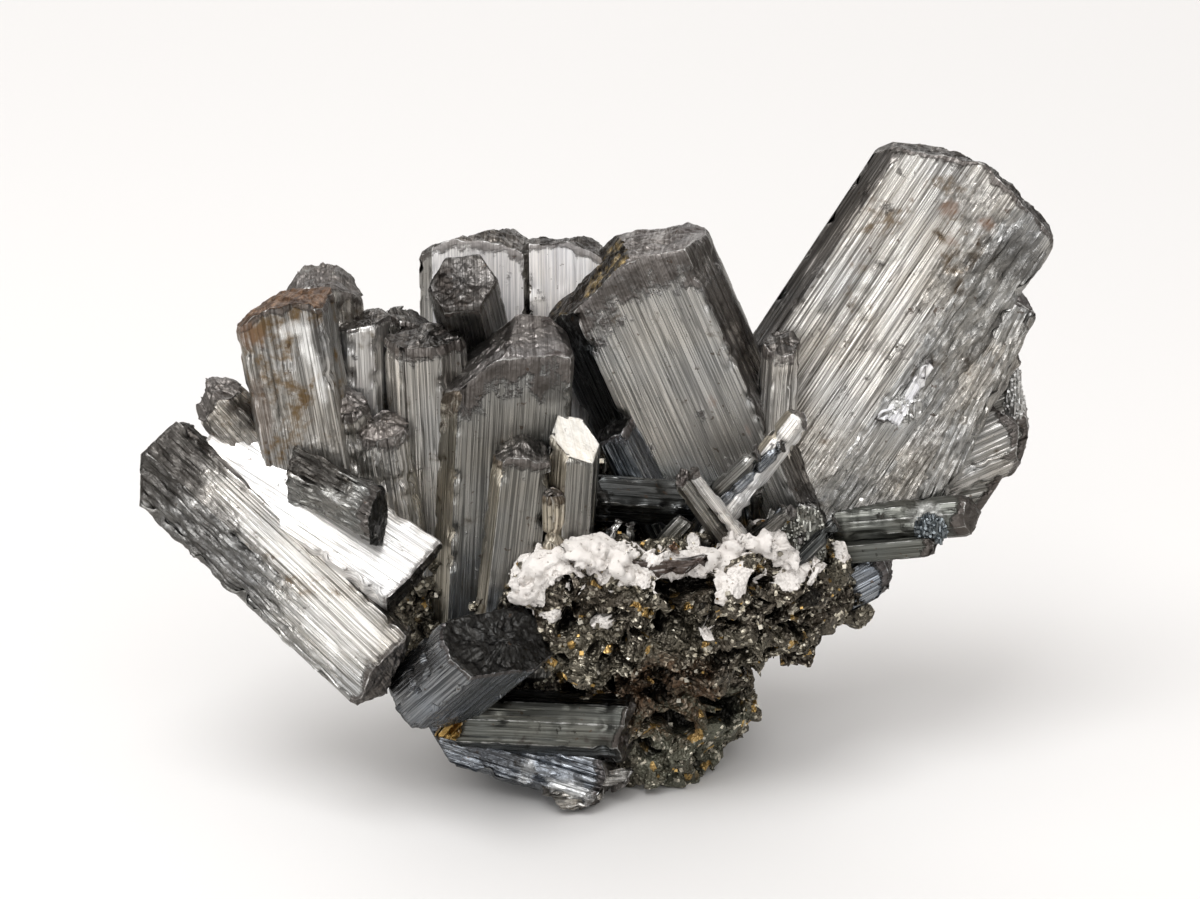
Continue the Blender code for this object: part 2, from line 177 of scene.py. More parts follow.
# Thin patches of crust on the matrix, in mm: a point near each, its half width and half height.
CRUST_PATCHES = [
    ((15.5, -10.8, 34.9), 2.1, 1.2),
    ((18.6, -5.0, 36.0), 1.6, 1.9),
    ((15.4, -13.5, 31.2), 2.1, 2.1),
    ((13.6, -14.0, 29.6), 1.0, 1.3),
    ((21.0, -10.0, 32.4), 1.6, 2.6),
    ((23.9, -9.4, 30.9), 1.2, 0.8),
    ((25.7, -7.8, 29.0), 1.2, 0.9),
    ((29.4, -1.0, 29.5), 1.0, 0.9),
    ((0.9, -14.8, 26.0), 1.3, 1.0),
    ((-5.5, -14.6, 26.7), 1.0, 0.7),
    ((-8.6, -16.3, 28.6), 1.3, 0.9),
    ((13.2, -14.5, 24.1), 1.0, 0.4),
    ((8.8, -15.0, 33.4), 2.6, 0.8),
]
PATCH_DEPTH = 4.0  # about how far in front of its point, and behind it, a patch reaches

# Sugary lumps of tiny crystals: centre, radii, finish and the node that they grow on.
DRUSE_LUMPS = [
    ((24.4, -4.0, 31.8), (2.6, 2.6, 3.9), "steel", "matrix"),
    ((40.4, 1.4, 31.2), (1.8, 1.4, 1.6), "slate", "right_crystals"),
    ((51.2, 15.4, 43.0), (1.2, 2.4, 4.2), "silver", "right_crystals"),
    ((37.2, 5.6, 45.4), (1.7, 1.2, 1.5), "silver", "right_crystals"),
]
DRUSE_SKIN = (2.2, 0.5)
DRUSE_VOXEL = 0.4
DRUSE_GRAIN = (0.3, 0.6)
DRUSE_GRAINS = 60  # for each mm of the three radii together
DRUSE_COLOURS = {"steel": (0.36, 0.36, 0.33), "slate": (0.26, 0.29, 0.31), "silver": (0.8, 0.8, 0.79)}

# Loose grains, least and greatest size in mm, and small crystals that stand in the matrix.
BRASS_GRAIN = (0.2, 0.45)
SILVER_GRAIN = (0.2, 0.6)
SILVER_GRAIN_COLOUR = (0.5, 0.47, 0.4)
LATH_COUNT = 150
LATH_PITCH = 0.4
LATH_WIDTH = (0.7, 2.2)
LATH_DEPTH = (0.5, 1.0)  # in widths
LATH_LENGTH = (1.6, 3.2)  # in widths
LATH_FINISHES = ("steel", "lead", "lead", "gloom", "slate")
LATH_FRONT = -8.0  # none grows in front of this, on the crust's ledge
LATH_FREE_CORNER = (-5.0, 6.0)  # none grows left of and in front of this, by the front crystals
LATH_TOP = 30.0  # they grow above this
LATH_BACK = (8.0, 12.0)  # and behind this, from this height up

# Crystal finishes: light and dark metal, film, share of film, roughness, metallic, depth of the lines and how
# many there are in a mm, about. The lines mix light and dark as painted sheen and painted shade, with some
# real marks.
FINISHES = {
    "silver": ((0.8, 0.79, 0.76), (0.16, 0.153, 0.142), (0.17, 0.13, 0.09), 0.35, 0.25, 0.85, 1.0, 5.0),
    "satin": ((0.74, 0.745, 0.74), (0.42, 0.42, 0.42), (0.17, 0.14, 0.1), 0.3, 0.28, 0.9, 0.4, 3.6),
    # pale: near-white and nearly not metallic, a painted highlight
    "pale": ((0.99, 0.99, 0.99), (0.62, 0.62, 0.64), (0.35, 0.33, 0.3), 0.1, 0.3, 0.1, 0.9, 4.4),
    "steel": ((0.59, 0.59, 0.58), (0.21, 0.212, 0.208), (0.10, 0.08, 0.06), 0.3, 0.25, 1.0, 0.7, 4.6),
    "lead": ((0.35, 0.35, 0.335), (0.125, 0.126, 0.12), (0.09, 0.075, 0.06), 0.25, 0.25, 1.0, 0.6, 4.8),
    # mirror: near-white and half diffuse, bright metal that is partly a painted reflection
    "mirror": ((0.99, 0.99, 0.98), (0.4, 0.4, 0.4), (0.3, 0.28, 0.24), 0.15, 0.27, 0.5, 0.8, 4.4),
    "slate": ((0.34, 0.37, 0.41), (0.07, 0.078, 0.09), (0.05, 0.045, 0.04), 0.2, 0.2, 1.0, 0.6, 4.6),
    "dusk": ((0.13, 0.134, 0.122), (0.07, 0.073, 0.066), (0.05, 0.045, 0.04), 0.3, 0.34, 0.9, 0.2, 3.0),
    "gloom": ((0.13, 0.14, 0.145), (0.025, 0.027, 0.027), (0.02, 0.02, 0.018), 0.2, 0.22, 1.0, 0.6, 4.6),
    "bronze": ((0.7, 0.66, 0.57), (0.18, 0.165, 0.13), (0.15, 0.12, 0.08), 0.3, 0.3, 1.0, 0.9, 6.0),
    "weathered": ((0.54, 0.54, 0.53), (0.16, 0.158, 0.15), (0.17, 0.115, 0.06), 0.6, 0.28, 0.9, 1.0, 4.6),
    "frost": ((0.4, 0.385, 0.375), (0.13, 0.12, 0.115), (0.055, 0.04, 0.036), 0.55, 0.27, 1.0, 0.35, 2.0),
    "char": ((0.27, 0.26, 0.25), (0.06, 0.056, 0.053), (0.025, 0.02, 0.017), 0.45, 0.22, 1.0, 0.35, 2.0),
    "flecked": ((0.07, 0.06, 0.05), (0.014, 0.012, 0.01), (0.6, 0.45, 0.22), 0.5, 0.2, 0.95, 0.35, 2.4),
    "chalky": ((0.99, 0.98, 0.95), (0.8, 0.77, 0.7), (0.4, 0.33, 0.2), 0.05, 0.4, 0.1, 0.3, 1.6),
    "rust": ((0.34, 0.21, 0.13), (0.09, 0.055, 0.035), (0.05, 0.03, 0.022), 0.5, 0.34, 0.75, 0.35, 2.0),
    "umber": ((0.07, 0.046, 0.038), (0.035, 0.025, 0.02), (0.02, 0.015, 0.012), 0.5, 0.4, 0.35, 0.3, 2.0),
    "gilt": ((0.8, 0.55, 0.2), (0.22, 0.13, 0.04), (0.08, 0.05, 0.02), 0.4, 0.25, 1.0, 0.35, 2.0),
}
GROWN_ENDS = ("frost", "char", "flecked", "chalky", "rust", "umber", "gilt")
# Near-white of freshly broken metal, partly a painted highlight where the bright marks and edges use it
FRESH_METAL_AND_HIGHLIGHT = (0.95, 0.95, 0.93, 1)
STAIN = (0.15, 0.075, 0.035, 1)
SPECK = (0.07, 0.045, 0.03, 1)
DARK_MARK_TONE = (0.035, 0.031, 0.028, 1)
COAT = {"mirror": (0.22, 0.2, 0.19, 1), "bronze": (0.1, 0.075, 0.055, 1), "gloom": (0.03, 0.028, 0.026, 1)}
PLAIN_COAT = (0.105, 0.09, 0.083, 1)

# Tones of the matrix and the crust, with the painted shade in the matrix's cavities.
RUSTY_HOLLOW = (8.0, -8.5, 14.5)
RUSTY_REACH = 8.0
GREEN_FOOT = (11.0, -5.0, 6.5)
GREEN_REACH = 9.0
BLACK_GRAIN = (0.016, 0.013, 0.01, 1)
GREY_GRAIN = (0.24, 0.21, 0.17, 1)
BROWN_GRAIN = (0.06, 0.05, 0.038, 1)
DRAB_GRAIN = (0.2, 0.185, 0.145, 1)
GREEN_GRAIN = (0.11, 0.115, 0.085, 1)
GLINT = (0.75, 0.7, 0.58, 1)
ROCK_FILM = (0.05, 0.035, 0.02, 1)
ROCK_RUST = (0.14, 0.06, 0.02, 1)
CAVITY_PAINTED_SHADE = (0.006, 0.005, 0.004, 1)
GRAIN_FILM = (0.08, 0.055, 0.03, 1)
CHALK_SHADE = (0.66, 0.62, 0.58, 1)
CHALK_FILM = (0.4, 0.35, 0.3, 1)
CHALK_PIT = (0.2, 0.16, 0.12, 1)

# How deep the fine bumps of the finishes are, in metres.
LINE_BUMP = 0.00014
GRAIN_BUMP = 0.00045
CHALK_BUMP = 0.00025

# Stage, in mm. Lights have a place, an aim, a width and height, and how bright their face is.
CAMERA_LENS = 100.0
CAMERA_HEIGHT_DEGREES = 20.0
CAMERA_DISTANCE = 400.0
CAMERA_AIM = (0.0, 0.0, 42.0)
CAMERA_NEAR = 10.0
FLOOR_REACH = 4000.0
FLOOR_IN_METAL = (0.7, 0.69, 0.665)  # the floor as the metal mirrors it, next to the floor itself
LIGHTS = {
    "overhead softbox": ((-260, -330, 950), (0, 0, 0), (580, 580), 6.0),
    "background softbox": ((0, 1500, 800), (0, 1500, 0), (2400, 800), 2.6),
    "high front softbox": ((60, -820, 860), (0, 0, 30), (760, 400), 3.0),
    "front softbox": ((-400, -1150, 190), (0, 0, 40), (800, 460), 2.9),
    "left softbox": ((-900, -150, 420), (0, 0, 40), (400, 600), 1.5),
    "right strip": ((900, -500, 350), (0, 0, 40), (160, 700), 2.0),
}
HORIZON = (0.21, 0.203, 0.195, 1)
ZENITH = (0.74, 0.71, 0.685, 1)

GROUPS = {}
MATERIALS = {}


def smooth(share):
    """0 to 1, with a soft start and end."""
    share = min(max(share, 0.0), 1.0)
    return share * share * (3 - 2 * share)


def turbulence(point, size, seed, octaves=3):
    """Noise from about -1 to 1 with features about size mm across."""
    spot = Vector(point) / size + Vector((seed * 3.1, seed * 1.7, seed * 0.9))
    return noise.fractal(spot, 0.8, 2.1, octaves, noise_basis="PERLIN_ORIGINAL")


def fall(plane, x, y):
    """How far an end plane has dropped at a place in the cross-section."""
    turn, tilt, drop = plane
    turn = math.radians(turn)
    return drop + math.tan(math.radians(tilt)) * (x * math.cos(turn) + y * math.sin(turn))


class Crystal:
    """A prism from root to tip, in mm.

    Ends are planes (turn, tilt, drop): the plane's normal leans from the axis by tilt degrees, towards the
    turn angle in the cross-section, and the plane crosses the axis drop mm inside the end. An end is cut by
    all of its planes. finish is the finish of the long faces, sides gives other ones to single faces by their
    number, and end is that of the tip, or one for each of its planes. coat is how far the frosting creeps
    down from the tip. Marks lie on the display face: (kind, across, along, half width, half length,
    strength), along being measured from the root.
    """

    def __init__(
        self, root, tip, width, depth, shape=BLADE, facing=(0, -1, 0.3), top=((0, 0, 0),), foot=((0, 0, 0),),
        finish="steel", sides=None, end="frost", foot_end="char", coat=2.5, relief=1.0, ledges=14,
        rough=1.0, dull=0.0, fine=1.0, marks=(),
    ):
        self.root, self.tip = Vector(root), Vector(tip)
        self.width, self.depth, self.shape = width, depth, shape
        self.top, self.foot = top, foot
        along = (self.tip - self.root).normalized()
        front = Vector(facing)
        back = -(front - along * front.dot(along)).normalized()
        self.axes = Matrix((back.cross(along), back, along)).transposed()
        self.length = (self.tip - self.root).length
        self.finish, self.sides, self.foot_end = finish, sides or {}, foot_end
        self.ends = (end,) * len(top) if isinstance(end, str) else end
        self.coat, self.relief, self.ledges, self.rough, self.dull = coat, relief, ledges, rough, dull
        self.fine, self.marks = fine, marks
        self.seed = round(self.width * 7 + self.root.x * 3 + self.tip.z) % 97

    def finishes(self):
        return [self.finish, self.foot_end, *self.ends, *self.sides.values()]

    def tip_heights(self, x, y):
        """How high each end plane is at a place in the cross-section."""
        return [self.length - fall(plane, x, y) for plane in self.top]

    def tip_height(self, x, y):
        return min(self.tip_heights(x, y))

    def foot_height(self, x, y):
        return max(fall(plane, x, y) for plane in self.foot)

    def rim(self, pitch, picks):
        """Points round the cross-section, with the first one again at the end.

        Each has its place, its outward direction, its run from the first corner, its distance to the nearest
        corner and the number of its side.
        """
        corners = [Vector((x * self.width / 2, y * self.depth / 2)) for x, y in self.shape]
        points = []
        run = 0.0
        for number, (start, end) in enumerate(zip(corners, corners[1:] + corners[:1])):
            side = end - start
            outward = Vector((side.y, -side.x)).normalized()
            count = max(2, round(side.length / pitch))
            for step in range(count):
                share = (step + (picks.uniform(-0.3, 0.3) if step else 0)) / count
                to_corner = min(share, 1 - share) * side.length
                points.append((start + side * share, outward, run + share * side.length, to_corner, number))
            run += side.length
        self.girth = run
        points.append((points[0][0], points[0][1], run, 0.0, points[0][4]))
        return points

    def rows(self, pitch):
        """Rows of the skin from the foot's centre to the tip's: the part each belongs to, and a share.

        On an end the share is of the way out from its centre, and on the wall of the way from foot to tip.
        """
        tip_rings = max(8, round(min(self.width, self.depth) / 2 / pitch))
        count = max(8, round(self.length / (pitch * ROW_STRETCH)))
        foot = [("foot", ring / FOOT_RINGS) for ring in range(FOOT_RINGS)]
        wall = [("wall", step / count) for step in range(count)]
        wall += [("wall", 1 - 0.6 / self.length), ("wall", 1 - 0.25 / self.length), ("wall", 1.0)]
        tip = [("tip", 1 - ring / tip_rings) for ring in range(1, tip_rings + 1)]
        return foot + sorted(wall) + tip

    def plates(self, picks):
        """Growth plates, a little higher or lower than the face round them."""
        found = []
        for _ in range(self.ledges):
            run = picks.uniform(0, self.girth)
            low = picks.uniform(-0.1, 0.9) * self.length
            far_side = run + picks.uniform(*PLATE_WIDTH)
            high = low + picks.uniform(*PLATE_LENGTH)
            found.append((run, far_side, low, high, picks.uniform(*PLATE_LEVEL)))
        return found

    def mark_strengths(self, x, along, on_front):
        """How strongly each kind of mark shows at a place on the display face."""
        found = {"stain": 0.0, "bright": 0.0, "dull": self.dull, "dark": 0.0, "pit": 0.0}
        if on_front:
            for kind, across, height, half_width, half_length, strength in self.marks:
                reach = math.hypot((x - across) / half_width, (along - height) / half_length)
                if reach < 1.4:
                    ragged = 0.35 * turbulence((x, along, 0), 1.3, self.seed)
                    found[kind] = max(found[kind], strength * smooth((1.15 - reach + ragged) * 1.8))
        return found

    def lines_at(self, run, along, pitch, shift, stretch=1.0):
        """Noise drawn out along the crystal, pitch mm across."""
        return noise.noise(Vector((run / pitch, along / LINE_LENGTH * stretch, self.seed + shift)))

    def relief_at(self, run, along, to_corner, plates, dull):
        """How far the skin stands out from the flat face."""
        lines = self.lines_at(run, along, FINE_PITCH, 0) * FINE_RELIEF * self.fine
        groups = self.lines_at(run, along, BROAD_PITCH, 31, 0.7) * BROAD_RELIEF
        flakes = noise.cell(Vector((run / FLAKE_SIZE[0], along / FLAKE_SIZE[1] + run * 0.7, self.seed))) - 0.5
        patches = noise.noise(Vector((run / FLAKY_PATCH[0], along / FLAKY_PATCH[1], self.seed + 9)))
        flaky = smooth(1.6 * patches + 0.1) * 0.6 + 2 * dull
        out = (lines + groups) * self.relief * (1 - 0.5 * dull) + flakes * FLAKE_RELIEF * flaky * self.relief
        ragged = PLATE_RAGGEDNESS * noise.noise(Vector((run * 1.4, along * 0.2, self.seed)))
        for start, end, low, high, level in plates:
            if start < run < end and low < along + ragged < high:
                out += level * self.relief
        if dull > 0.02:
            out += dull * DULL_SWELL_HEIGHT * turbulence((run, along * 0.55, 0), DULL_SWELL, self.seed + 3, 4)
            near = noise.voronoi(Vector((run / DULL_LUMP[0], along / DULL_LUMP[1], self.seed)))[0][0]
            out += dull * DULL_LUMP_HEIGHT * (0.45 - near)
        crossing = self.lines_at(run, along, GROOVE_PITCH, 71)
        out -= smooth(1 - abs(crossing) / GROOVE_REACH) * GROOVE_DEPTH * self.relief
        chip = noise.noise(Vector((along * 0.55, run * 0.05, self.seed + 57))) - 0.1
        if chip > 0 and to_corner < CHIP_REACH:
            out -= min(chip, 0.35) * CHIP_DEPTH * (1 - to_corner / CHIP_REACH)
        return out

    def uneven_end(self, spot, from_rim):
        """How far the skin of an end stands out: swells, growth steps and small bumps, in mm."""
        swells = turbulence((spot.x, spot.y, 5), END_SWELL, self.seed, 2)
        small = turbulence((spot.x, spot.y, 0), END_BUMP, self.seed, 2)
        step = round(2.4 * turbulence((spot.x * 0.7, spot.y, 9), END_STEP, self.seed, 4)) * TERRACE
        return self.rough * (END_ROUGHNESS * (0.8 * swells + 0.34 * small) + step * 0.6 * from_rim)

    def add_to(self, bm, slots, pitch):
        """Wraps one grid round the prism, from the middle of its foot to the middle of its tip."""
        picks = random.Random(self.seed)
        rim = self.rim(pitch, picks)
        rows = self.rows(pitch)
        plates = self.plates(picks)
        first_face = len(bm.faces)
        skin = bmesh.ops.create_grid(bm, x_segments=len(rim) - 1, y_segments=len(rows) - 1, size=1)["verts"]
        layers = {name: bm.verts.layers.float[name] for name in LAYERS}
        where = {}
        lay = {}
        tip_faces = []
        for number, vert in enumerate(skin):
            row, column = divmod(number, len(rim))
            where[vert] = (row, column)
            lay[vert] = self.shape_vert(vert, rim[column], rows[row], plates, layers)
        bm.faces.ensure_lookup_table()
        uv = bm.loops.layers.uv["lay"]
        for face in bm.faces[first_face:]:
            column = min(where[vert][1] for vert in face.verts)
            row = min(where[vert][0] for vert in face.verts)
            part = rows[row + 1][0] if rows[row][0] == "wall" else rows[row][0]
            name = self.sides.get(rim[column][4], self.finish)
            if part == "foot":
                name = self.foot_end
            if part == "tip":
                spot = rim[column][0] * rows[row + 1][1]
                heights = self.tip_heights(spot.x, spot.y)
                name = self.ends[heights.index(min(heights))]
                tip_faces.append(face)
            face.material_index = slots.index(name)
            face.smooth = True
            for loop in face.loops:
                loop[uv].uv = lay[loop.vert]
        for face in bm.faces[first_face:]:
            for edge in face.edges:
                ends = [where[vert] for vert in edge.verts]
                parts = [rows[end[0]][0] for end in ends]
                if ends[0][1] == ends[1][1] and parts == ["wall", "wall"]:
                    edge.smooth = False
        for face in tip_faces:
            for edge in face.edges:
                edge.smooth = edge.smooth and edge.calc_face_angle(0) < END_CREASE
        bmesh.ops.remove_doubles(bm, verts=skin, dist=1e-5)

    def shape_vert(self, vert, rim_point, row, plates, layers):
        """Puts one point of the grid in its place and gives its values. Returns its place on the skin."""
        place, outward, run, to_corner, _ = rim_point
        part, share = row
        spot = place.copy() if part == "wall" else place * share
        height = self.tip_height(spot.x, spot.y)
        low = self.foot_height(spot.x, spot.y)
        bump = self.uneven_end(spot, smooth((1 - share) * 4) if part == "tip" else 0.0)
        if part == "wall":
            along = low + (height - low) * share
        else:
            along = height if part == "tip" else low
        below = height - along
        strengths = self.mark_strengths(spot.x, along, spot.y < 0 and part == "wall")
        if part == "wall":
            out = self.relief_at(run, along, to_corner, plates, strengths["dull"])
            out -= PIT_DEPTH * strengths["pit"]
            edge_wear_and_highlight = smooth(1 - below / RIM_WEAR[0]) * RIM_WEAR[1]
            out -= edge_wear_and_highlight + smooth(1 - to_corner / CORNER_WEAR[0]) * CORNER_WEAR[1]
            spot += outward * out
            along += bump * smooth(share * self.length / 6 if share < 0.5 else 1)
        else:
            along += bump
        vert.co = self.root + self.axes @ Vector((spot.x, spot.y, along))
        vert.co.z = max(vert.co.z, REST_Z)
        vert[layers["coat"]] = 1.0 if part == "tip" else smooth(1 - below / self.coat)
        if part == "wall":
            vert[layers["edge"]] = smooth(1 - min(to_corner, abs(below)) / BRIGHT_EDGE)
        else:
            vert[layers["edge"]] = smooth((share - 0.92) / 0.08)
        for name in LAYERS[2:]:
            vert[layers[name]] = strengths[name]
        if part == "wall":
            return (run, along + self.seed * 41)
        return (spot.x + 200, spot.y + self.seed * 41)


